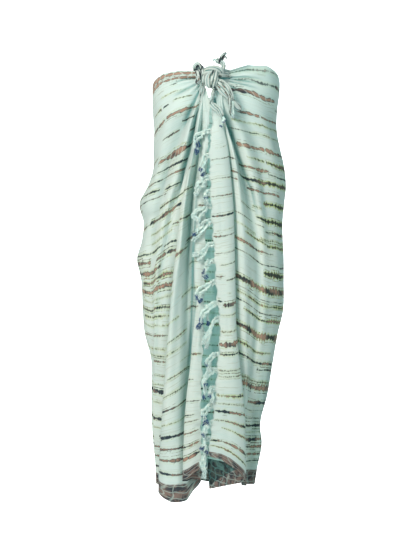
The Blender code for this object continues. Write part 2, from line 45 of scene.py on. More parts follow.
wrap = {
    "rows": 300,
    "crowding": 1.3,  # rows lie closer near the gathered top
    "backColumns": 70,
    "columnsPerField": 10,
    "columnsPerFold": 7,
    "columnsPerRightFold": 9,
    "sideAngle": 96.0,
    "roundness": 0.85,
    "foldDepth": 1.6,
    "fadeLength": 110.0,  # creases are flat at the top edge and reach their depth this far below it
    "sharpDepth": 4,  # a crease deeper than this also gets painted shade
    "fallSteps": 400,
    "swellHeights": (60, -150, -1040),
    "backGrows": (-60, 900),  # the back's folds start at this height and are full this far below it
    "backStarts": 12,  # and they fade in over this many degrees from each side
    "backFlare": 3, "backRipple": 0.7,
    "waver": 0.5,  # thin cloth is never quite even
    # the fringed end: how far it is crinkled, over how many thread lines, from which height, full after
    "crinkle": 1.6, "crinkledLines": 0.8, "crinkleStarts": (-40, 60),
    "sharpShade": 6.5, "fanShade": 20,  # a crease as deep as this gets full painted shade
    # height, left and right outline, how far the front and the back stand from the middle
    "form": (
        (60, -153, 170, 108, 100), (0, -154, 170, 112, 98), (-60, -153, 163, 119, 93),
        (-100, -150, 163, 118, 90), (-150, -152, 172, 115, 88), (-200, -152, 182, 113, 90),
        (-245, -166, 186, 112, 95), (-290, -188, 182, 113, 102), (-340, -177, 178, 115, 110),
        (-385, -182, 179, 117, 117), (-430, -194, 181, 118, 121), (-480, -184, 181, 118, 122),
        (-560, -179, 179, 115, 118), (-620, -174, 166, 111, 112), (-690, -156, 153, 106, 106),
        (-780, -155, 138, 101, 100), (-850, -154, 120, 98, 96), (-900, -150, 125, 96, 94),
        (-960, -145, 113, 94, 92), (-1035, -143, 100, 92, 90),
    ),
    # thread lines along the creases and ridges: top, hem, place across at each of heights, relief at
    # depthHeights, and how far a stripe has risen above its height at the side, at riseHeights
    "heights": (50, 0, -50, -100, -150, -200, -300, -400, -500, -600, -700, -800, -900, -1000),
    "depthHeights": (0, -100, -200, -350, -600, -800, -1000),
    "riseHeights": (-40, -100, -200, -350, -600, -800, -860),
    "left": (
        (35, -1010, (-31, -35, -55, -81, -101, -120, -139, -152, -155, -153, -152, -153, -149, -144),
         (-1, -6, -5, -3, -1, -2, -2), (70, 72, 46, 28, -30, -25, -16)),
        (26, -1013, (-29.5, -33, -43, -55, -66, -80, -111, -130, -142, -145, -146, -150, -147, -143),
         (0, 4, 4, 3, 2, 1, 1), (66, 78, 58, 40, -28, -28, -20)),
        (21, -1016, (-28.5, -31, -37.5, -48, -57, -71, -102, -121, -134, -139, -141, -145, -144, -142),
         (-1, -7, -7, -5, -2, -3, -4), (72, 88, 66, 50, -28, -30, -22)),
        (16, -1020, (-27.5, -29.8, -34.5, -43, -51, -64, -92, -109, -120, -128, -132, -138, -140, -140),
         (0, -4, -4, -3, -3, -5, -6), (76, 92, 72, 56, -28, -32, -24)),
        (12, -1026, (-26.8, -28.8, -33, -41, -48.5, -61, -81, -87, -99, -107, -115, -122, -129, -134),
         (0, -1, -1, -6, -10, -10, -10), (78, 95, 78, 60, -28, -34, -28)),
        (8, -1029, (-26, -27.8, -31.5, -38.5, -46.2, -57.5, -80, -92, -105, -113, -121, -128, -135, -139),
         (0, 2, 2, -1, -2, -2, -2), (80, 97, 82, 62, -28, -36, -28)),
        (5, -1031, (-25.3, -26.8, -30, -36, -44, -54, -70, -80, -93, -102, -108, -113, -118, -120),
         (0, 3, 5, 6, 6, 5, 5), (81, 99, 86, 66, -20, -28, -22)),
        (2, -1032, (-24.6, -25.8, -28, -33, -41, -50, -64, -72, -80, -86, -88, -90, -91, -92),
         (0, -1, -4, -4, -3, -3, -2), (82, 100, 90, 72, -6, -12, -12)),
        (0, -1029, (-24, -25, -26, -31, -38, -46, -58, -64, -68, -70, -69, -70, -71, -72),
         (-1, -9, -14, -16, -16, -16, -14), (83, 100, 94, 78, 8, 4, -4)),
        (-2, -985, (-23.4, -24.3, -24.3, -28.5, -35, -42, -54, -61, -64, -62, -56, -48, -38, -30),
         (0, -6, -10, -13, -15, -15, -13), (83, 100, 96, 80, 12, 10, 8)),
        (-4, -982, (-22.8, -23.6, -22.8, -26, -31, -38, -50, -57, -60, -58, -53, -46, -37, -29),
         (0, -4, -6, -9, -10, -9, -8), (83, 100, 96, 80, 14, 14, 12)),
        (-6, -980, (-22.2, -22.9, -20.5, -23.5, -28, -35, -46, -53, -55, -52, -58, -58, -56, -52),
         (0, -1, -3, -4, -4, -5, -5), (83, 100, 96, 82, 14, 14, 14)),
        (-7, -977, (-21.6, -22, -17, -20, -25, -32, -42, -49, -49, -42, -58, -70, -75, -78),
         (0, 0, 0, -1, -1, -1, -1), (82, 100, 96, 82, 12, 14, 16)),
        (-8, -970, (-21, -21, -13, -16, -20, -25, -31, -36, -37, -35, -44, -52, -55, -57),
         (0, 1, 2, 2, 3, 4, 4), (82, 98, 96, 82, 12, 16, 22)),
        (-9, -953, (-20.4, -20, -9, -13, -14, -17, -19, -20, -22, -26, -29, -31, -31, -33),
         (0, 0, 0, 0, 1, 1, 1), (80, 96, 94, 80, 12, 20, 34)),
    ),
    "right": (
        (-15, -921, (-2, -2, -3, -3, -8, -8, -5, 2, 7, 16, 10, 2, -10, -14),
         (0, 2, 4, 4, 5, 5, 5), (20, 25, 44, 52, 44, 24, 44)),
        (-11, -929, (4, 4, 4, 7, 6, 9, 13, 19, 23, 30, 28, 24, 19, 18),
         (0, 4, 8, 8, 8, 8, 8), (24, 28, 48, 54, 44, 22, 40)),
        (-6, -962, (11, 11, 11, 16, 23, 28, 35, 39, 41, 44, 50, 56, 57, 58),
         (0, 4, 8, 9, 9, 9, 9), (30, 34, 50, 58, 44, 16, 18)),
        (-1, -1000, (16, 16, 17, 24, 35, 41, 49, 52, 54, 56, 66, 76, 78, 80),
         (0, 2, 3, 4, 4, 4, 4), (42, 46, 53, 62, 46, 12, 4)),
        (3, -1001, (18, 18, 19, 25, 33, 39, 46, 50, 52, 54, 64, 74, 78, 81),
         (0, -3, -7, -8, -8, -8, -8), (42, 46, 53, 62, 46, 12, 4)),
        (8, -1001, (20, 20, 22, 31, 45, 55, 66, 72, 76, 80, 84, 87, 87, 85),
         (1, 4, 5, 4, 2, -6, -8), (42, 42, 46, 50, 34, 11, 3)),
        (15, -1001, (21, 22, 27, 38, 57, 70, 94, 110, 114, 112, 106, 99, 96, 90),
         (-2, -11, -12, -6, -5, -14, -15), (42, 38, 36, 30, 15, 9, 2)),
        (22, -1001, (22, 24, 40, 58, 76, 90, 112, 124, 128, 124, 117, 106, 102, 94),
         (0, 2, 3, 2, 0, -14, -15), (38, 30, 28, 20, 10, 7, 1)),
        (30, -1001, (23, 32, 62, 92, 110, 122, 134, 140, 142, 138, 128, 113, 108, 98),
         (-1, -6, -3, -1, 0, -9, -11), (34, 24, 20, 12, 6, 4, 0)),
    ),
    # plain lines between the side and the outermost crease: share of the way, top, hem, swell, rise
    "leftField": (
        (0.25, 17, -1010, (1, 0), (12, 8, 9, 6, -10, -8, -5)),
        (0.5, 33, -1014, (2, 1), (32, 26, 22, 12, -20, -15, -8)),
        (0.75, 38, -1014, (2, 2), (54, 50, 34, 20, -26, -20, -12)),
    ),
    "rightField": (
        (0.25, 33, -1000, (1, 0), (6, 6, 5, 3, 1, 1, 0)),
        (0.5, 52, -1000, (2, 1), (11, 11, 10, 6, 3, 2, 0)),
        (0.75, 51, -1001, (2, 2), (22, 18, 15, 9, 4, 3, 0)),
    ),
    "leftSide": (0, -1008),
    "rightSide": (-2, -999),
    "backTop": -8,
    "backHem": -1008,
    # the left front's hem dips in a curve: place across, and how much higher or lower than its line
    "leftHem": ((-150, -141, -134, -122, -104, -80, -66, -55), (0, 14, 10, 2, -8, -9, -7, 0)),
    # soft upright folds of the back: angle, width in degrees, depth at the waist and hem, lean
    "backFolds": (
        (116, 8, 3, 14, 3), (136, 10, 5, 24, -2), (157, 8, 3, 18, 2), (179, 11, 6, 27, -3),
        (202, 9, 3, 20, 3), (225, 11, 5, 25, 0), (246, 8, 3, 14, -2),
    ),
}


def through(stations, values, at):
    # a smooth curve through values at falling stations
    xs = -np.asarray(stations, float)
    ys = np.asarray(values, float)
    x = np.clip(-np.asarray(at, float), xs[0], xs[-1])
    steps = np.diff(ys) / np.diff(xs)
    slopes = np.concatenate(([steps[0]], (steps[:-1] + steps[1:]) / 2, [steps[-1]]))
    i = np.clip(np.searchsorted(xs, x) - 1, 0, len(xs) - 2)
    h = xs[i + 1] - xs[i]
    t = (x - xs[i]) / h
    return (ys[i] * (1 + 2 * t) * (1 - t) ** 2 + ys[i + 1] * t * t * (3 - 2 * t)
            + slopes[i] * h * t * (1 - t) ** 2 + slopes[i + 1] * h * t * t * (t - 1))


def formAt(z):
    # middle and half width of the form at a height, and how far its front and its back stand out
    stations = [row[0] for row in wrap["form"]]
    left, right, front, back = (through(stations, [row[i] for row in wrap["form"]], z) for i in (1, 2, 3, 4))
    return (left + right) / 2, (right - left) / 2, front, back


def onForm(angle, proud, z):
    # the point at an angle round the form, 0 at the front and rising to the right, and proud of it
    middle, wide, front, back = formAt(z)
    c, s = np.cos(angle), np.sin(angle)
    reach = np.where(c >= 0, front, back)
    steep = np.maximum(np.abs(c), 1e-4)
    outX = reach * wrap["roundness"] * steep ** (wrap["roundness"] - 1) * s
    outY = -wide * c
    length = np.hypot(outX, outY)
    x = middle + wide * s + proud * outX / length
    y = -np.sign(c) * reach * steep ** wrap["roundness"] + proud * outY / length
    return np.stack([x, y, z + 0 * x], axis=-1)


def angleOf(x, z):
    middle, wide = formAt(z)[:2]
    return np.arcsin(np.clip((x - middle) / wide, -0.999, 0.999))


def riseOf(top, hem, rise, side):
    stations = (top, *wrap["riseHeights"], hem)
    values = (top - side[0], *rise, hem - side[1])
    return lambda z: through(stations, values, z)


def creaseDepth(row, z):
    top, proud = row[0], row[3]
    fade = np.clip((top + 3 - z) / wrap["fadeLength"], 0.05, 1) ** 1.5
    return through(wrap["depthHeights"], proud, z) * fade


def threadLine(row, side):
    top, hem, across, _, rise = row
    return {
        "top": top, "hem": hem, "rise": riseOf(top, hem, rise, side),
        "angle": lambda z: angleOf(through(wrap["heights"], across, z), z),
        "relief": lambda z: creaseDepth(row, z) * wrap["foldDepth"],
    }


def sideLine(sign, side):
    return {
        "top": side[0], "hem": side[1], "rise": lambda z: 0 * z,
        "angle": lambda z: sign * radians(wrap["sideAngle"]) + 0 * z, "relief": lambda z: 0 * z,
    }


def fieldLine(row, sign, side, crease):
    part, top, hem, swell, rise = row
    edge = sign * radians(wrap["sideAngle"])
    return {
        "top": top, "hem": hem, "rise": riseOf(top, hem, rise, side),
        "angle": lambda z: edge + part * (crease["angle"](z) - edge),
        "relief": lambda z: through(wrap["swellHeights"], (swell[0], swell[1], swell[1]), z),
    }


def frontLines(sign, side, folds, fields):
    # a front as thread lines, from its side to the end of the cloth in the middle
    creases = [threadLine(row, side) for row in folds]
    return [sideLine(sign, side)] + [fieldLine(row, sign, side, creases[0]) for row in fields] + creases


leftLines = frontLines(-1, wrap["leftSide"], wrap["left"], wrap["leftField"])
rightLines = frontLines(1, wrap["rightSide"], wrap["right"][::-1], wrap["rightField"])


def centripetal(points, t):
    # on a curve from the second to the third of four points, which doesn't loop where they lie close
    p0, p1, p2, p3 = points
    gaps = [np.maximum(np.sqrt(np.linalg.norm(b - a, axis=-1, keepdims=True)), 1e-3)
            for a, b in ((p0, p1), (p1, p2), (p2, p3))]
    t1 = gaps[0]
    t2 = t1 + gaps[1]
    t3 = t2 + gaps[2]
    u = t1 + t * gaps[1]
    a1 = ((t1 - u) * p0 + u * p1) / t1
    a2 = ((t2 - u) * p1 + (u - t1) * p2) / (t2 - t1)
    a3 = ((t3 - u) * p2 + (u - t2) * p3) / (t3 - t2)
    b1 = ((t2 - u) * a1 + u * a2) / t2
    b2 = ((t3 - u) * a2 + (u - t1) * a3) / (t3 - t1)
    return ((t2 - u) * b1 + (u - t1) * b2) / (t2 - t1)


def mixLines(values, t):
    # between the second and the third of four values
    a, b, c, d = values
    square, cube = 2 * a - 5 * b + 4 * c - d, 3 * b - a - 3 * c + d
    return 0.5 * (2 * b + (c - a) * t + square * t * t + cube * t ** 3)


def frontColumn(lines, place, share):
    # share runs 0 to 1 down the cloth's own threads, so a row of the mesh is one weft thread
    last = len(lines) - 1
    i = min(int(place), last - 1)
    t = place - i
    near = [lines[min(max(k, 0), last)] for k in (i - 1, i, i + 1, i + 2)]
    top = lines[i]["top"] * (1 - t) + lines[i + 1]["top"] * t
    hem = lines[i]["hem"] * (1 - t) + lines[i + 1]["hem"] * t
    steps = np.linspace(top, hem, wrap["fallSteps"])
    fall = steps - mixLines([line["rise"](steps) for line in near], t)
    fall = np.maximum.accumulate(-fall)
    z = np.interp(share, (fall - fall[0]) / (fall[-1] - fall[0]), steps)
    roundMm = formAt(z)[1]

    def key(k):
        inside = min(max(k, 0), last)
        point = np.stack([lines[inside]["angle"](z) * roundMm, lines[inside]["relief"](z)], axis=-1)
        return point if k == inside else 2 * point - key(1 if k < 0 else last - 1)

    across = centripetal([key(k) for k in (i - 1, i, i + 1, i + 2)], t)
    return across[:, 0] / roundMm, across[:, 1], z


def backRelief(degrees, z):
    start, length = wrap["backGrows"]
    grow = np.clip((start - z) / length, 0, 1)
    sink = 0 * degrees
    for at, width, waist, hem, lean in wrap["backFolds"]:
        depth = waist * np.minimum(grow * 4, 1) + (hem - waist) * grow
        sink = sink - depth * np.exp(-(((degrees - at - lean * grow) / width) ** 2) * 2.2)
    side, over = wrap["sideAngle"], wrap["backStarts"]
    inside = np.clip((degrees - side) / over, 0, 1) * np.clip((360 - side - degrees) / over, 0, 1)
    return (sink + wrap["backFlare"] * grow) * inside


# creases fan out from the knot: direction in degrees (0 right, 90 up), depth, half width in degrees, reach
fans = {
    "right": {
        "from": (12, 22), "pull": 30.0,
        "creases": (
            (29, 3.0, 2.2, 110), (21, 5.0, 2.8, 160), (12, 2.8, 3.1, 130), (5, 3.8, 3.7, 120),
            (-4, 2.8, 3.1, 130), (-12, 4.0, 4.1, 105), (-22, 3.0, 3.7, 120), (-33, 4.2, 4.4, 90),
            (-44, 3.2, 4.1, 110), (-54, 5.5, 5.4, 150), (-63, 3.2, 3.7, 120), (-71, 4.5, 3.7, 190),
            (-79, 2.5, 2.7, 170), (-86, 3.2, 3.1, 150), (-93, 2.5, 2.7, 120),
        ),
    },
    "left": {
        "from": (-22, 16), "pull": 16.0,
        "creases": (
            (165, 2.0, 3.1, 110), (175, 2.8, 3.7, 120), (184, 2.2, 3.1, 100), (194, 3.0, 3.7, 110),
            (205, 2.5, 3.4, 90), (216, 3.5, 4.1, 120), (227, 2.8, 3.4, 130), (237, 4.2, 4.1, 190),
            (245, 3.2, 2.7, 210), (251.5, 2.6, 3.0, 230), (257, 1.0, 2.4, 160), (262, 2.4, 2.4, 200),
            (268, 2.2, 2.4, 180), (274, 3.0, 2.7, 140),
        ),
    },
}
# single creases: depth (below 0 a ridge), half width, then points of the route as across and height
slightCreases = {
    "right": (
        (2.0, 7.0, (118, -200), (128, -260), (132, -330)),
        (3.0, 8.0, (96, -420), (92, -560), (88, -640), (84, -700)),
        (2.4, 8.0, (126, -380), (130, -470), (124, -560)),
        (2.0, 7.0, (100, -780), (96, -850), (92, -940)),
        (-1.6, 6.0, (108, -790), (102, -870), (98, -950)),
        (-1.8, 7.0, (70, -330), (72, -430), (70, -540)),
        (1.2, 4.0, (14, -240), (18, -330), (20, -420)),
        (1.0, 4.0, (34, -560), (38, -640), (40, -720)),
        (1.2, 5.0, (30, -780), (32, -850), (34, -930)),
        (2.2, 9.0, (140, -60), (158, -130), (168, -180)),
        (1.6, 8.0, (104, -60), (126, -120), (146, -200)),
        (8.0, 3.0, (2, -30), (4, -44), (5, -58)),
        (5.5, 1.9, (14, 20), (46, 31), (80, 38), (120, 40)),
        (6.5, 2.0, (14, 18), (46, 20), (80, 21), (130, 18)),
        (6.5, 2.0, (14, 16), (46, 14), (80, 11), (125, 5)),
        (6.5, 2.0, (14, 14), (46, 8), (80, 1), (120, -8)),
        (6.0, 2.2, (14, 10), (40, -2), (66, -14), (100, -30)),
        (8.0, 3.6, (19, -54), (36, -100), (47, -118), (56, -150)),
        (5.5, 2.8, (39, -98), (58, -162), (73, -192), (88, -236), (98, -261), (108, -310), (113, -340)),
    ),
    "left": (
        (3.4, 8.0, (-112, -196), (-140, -252), (-172, -290)),
        (3.0, 8.0, (-112, -286), (-150, -318), (-176, -338)),
        (3.2, 9.0, (-106, -372), (-146, -394), (-182, -416)),
        (-2.2, 8.0, (-112, -336), (-150, -358), (-180, -380)),
        (2.4, 8.0, (-114, -466), (-150, -478), (-178, -484)),
        (2.0, 7.0, (-132, -520), (-150, -590), (-156, -670)),
        (1.6, 4.5, (-100, -420), (-108, -520), (-112, -620)),
        (1.8, 5.0, (-84, -480), (-90, -580), (-94, -700), (-96, -820)),
        (1.6, 5.0, (-74, -560), (-78, -700), (-80, -840)),
        (1.4, 3.0, (-50, -890), (-54, -920), (-57, -945)),
        (1.2, 3.0, (-52, -760), (-56, -830), (-58, -900)),
        (2.2, 9.0, (-104, -20), (-126, -80), (-138, -150)),
        (8.0, 4.0, (-26, 6), (-50, -41), (-70, -76), (-80, -108)),
        (7.0, 2.8, (-28, -29), (-45, -78), (-64, -162), (-78, -212), (-87, -261), (-100, -310)),
        (6.0, 4.0, (-38, -162), (-43, -286), (-50, -409), (-55, -533), (-61, -631), (-67, -700), (-71, -762),
         (-77, -824), (-81, -908)),
        (4.5, 2.4, (-34, 18), (-70, 16), (-110, 4)),
        (4.5, 2.8, (-34, 8), (-66, -8), (-104, -30)),
    ),
}
# a fan's crease: sideways waver in degrees and its length, where it is full, depth, ridge beside it
fanForm = {"waver": 2.5, "waverLength": 31, "fullAt": 14, "depth": 1.8, "ridge": 0.35, "closeUp": 5}


def fanRelief(x, z, fan):
    away = np.hypot(x - fan["from"][0], z - fan["from"][1])
    angle = np.degrees(np.arctan2(z - fan["from"][1], x - fan["from"][0])) % 360
    total = 0 * x
    for at, depth, width, reach in fan["creases"]:
        waver = fanForm["waver"] * np.sin(away / fanForm["waverLength"] + at)
        off = (angle - at - waver + 180) % 360 - 180
        across = np.abs(off) / width * np.clip(60 / (away + 20), 0.5, 1)
        strength = np.clip(away / fanForm["fullAt"], 0, 1) * np.clip((reach - away) / reach, 0, 1) ** 0.8
        ridge = fanForm["ridge"] * np.exp(-((across - 2) ** 2))
        total -= fanForm["depth"] * depth * strength * (np.exp(-across ** 1.5) - ridge)
    return total


def pullIn(points, fan):
    # the cloth closes up as it goes into the knot
    off = points[..., [0, 2]] - fan["from"]
    pull = np.clip(1 - np.linalg.norm(off, axis=-1) / fan["pull"], 0, 1) ** 1.2
    points[..., 0] -= off[..., 0] * pull
    points[..., 2] -= off[..., 1] * pull
    points[..., 1] -= fanForm["closeUp"] * pull
    return points


def creaseRelief(x, z, creases):
    total = 0 * x
    for depth, halfWidth, *route in creases:
        route = np.array(route, float)
        nearest = np.full(x.shape, 1e9)
        along = 0 * x
        for k, (a, b) in enumerate(zip(route, route[1:])):
            way = b - a
            t = np.clip(((x - a[0]) * way[0] + (z - a[1]) * way[1]) / (way @ way), 0, 1)
            away = np.hypot(x - a[0] - t * way[0], z - a[1] - t * way[1])
            closer = away < nearest
            nearest = np.where(closer, away, nearest)
            along = np.where(closer, (k + t) / (len(route) - 1), along)
        ends = np.clip(np.minimum(along * 5, (1 - along) * 3), 0, 1)
        total -= depth * ends * np.exp(-((nearest / halfWidth) ** 2))
    return total


# every column of the cloth, from its left end round the left side, the back and the right side
share = np.linspace(0, 1, wrap["rows"]) ** wrap["crowding"]


def spread(lines, fields, perField, perFold):
    places = []
    for i in range(len(lines) - 1):
        count = perField if i <= len(fields) else perFold
        places += [i + j / count for j in range(count)]
    return np.array(places + [len(lines) - 1])


leftPlaces = spread(leftLines, wrap["leftField"], wrap["columnsPerField"], wrap["columnsPerFold"])[::-1]
rightPlaces = spread(rightLines, wrap["rightField"], wrap["columnsPerField"], wrap["columnsPerRightFold"])
backDegrees = np.linspace(360 - wrap["sideAngle"], wrap["sideAngle"], wrap["backColumns"] + 2)[1:-1]


def frontGrid(lines, places, side):
    columns = [frontColumn(lines, p, share) for p in places]
    angle, proud, z = (np.stack([c[i] for c in columns], axis=1) for i in range(3))
    flatX = onForm(angle, 0, z)[..., 0]
    if side == "left":
        z = z + np.interp(flatX, *wrap["leftHem"]) * share[:, None] ** 16  # the lowest rows only
    waver = np.sin(flatX / 13 + 1.3 * np.sin(z / 90)) * np.sin(z / 61 + flatX / 37)
    sharp = creaseRelief(flatX, z, [c for c in slightCreases[side] if c[0] > wrap["sharpDepth"]])
    soft = creaseRelief(flatX, z, [c for c in slightCreases[side] if c[0] <= wrap["sharpDepth"]])
    fan = fanRelief(flatX, z, fans[side])
    proud = proud + wrap["waver"] * waver + sharp + soft + fan
    points = pullIn(onForm(angle, proud, z), fans[side])
    start, length = wrap["crinkleStarts"]
    end = np.clip(places - places.max() + wrap["crinkledLines"], 0, 1) * np.clip((start - z) / length, 0, 1)
    end = wrap["crinkle"] * end
    points[..., 0] += end * (np.sin(z / 3.3 + 2 * np.sin(z / 11)) + np.sin(z / 8.3))
    points[..., 1] -= end * np.sin(z / 5.1 + 2 * np.sin(z / 17))
    # and how much painted shade its sharp creases and fan creases give each point
    return points, np.clip(-sharp / wrap["sharpShade"] - fan / wrap["fanShade"], 0, 1)


def between(key, ways):
    # a height of the left side, running over to that of the right side; key 0 is the top, 1 the hem
    return wrap["leftSide"][key] + (wrap["rightSide"][key] - wrap["leftSide"][key]) * ways


leftGrid, leftPaintedCreaseShade = frontGrid(leftLines, leftPlaces, "left")
rightGrid, rightPaintedCreaseShade = frontGrid(rightLines, rightPlaces, "right")
part = np.linspace(0, 1, wrap["backColumns"] + 2)[1:-1]
dip = np.sin(pi * part)
backTop = between(0, part)
backTop = backTop + (wrap["backTop"] - backTop) * dip ** 0.5
backHem = between(1, part)
backHem = backHem + (wrap["backHem"] - backHem) * dip
z = backTop + (backHem - backTop) * share[:, None]
degrees = backDegrees + 0 * z
ripple = wrap["backRipple"] * np.sin(degrees / 3.1 + np.sin(z / 80)) * np.sin(z / 57 + degrees / 11) * dip
backGrid = onForm(np.radians(degrees), backRelief(degrees, z) + ripple, z)
grid = np.concatenate([leftGrid, backGrid, rightGrid], axis=1)
print("cloth grid", grid.shape)

# where a column lies in the dye: share of the way from the side to the end, and which side it belongs to
middleRow = grid[wrap["rows"] // 2]
threadX = np.concatenate([[0], np.cumsum(np.linalg.norm(np.diff(middleRow, axis=0), axis=1))])
leftShare = 1 - threadX[:len(leftPlaces)] / threadX[len(leftPlaces) - 1]
rightShare = threadX[-len(rightPlaces):] - threadX[-len(rightPlaces)]
rightShare = rightShare / rightShare[-1]

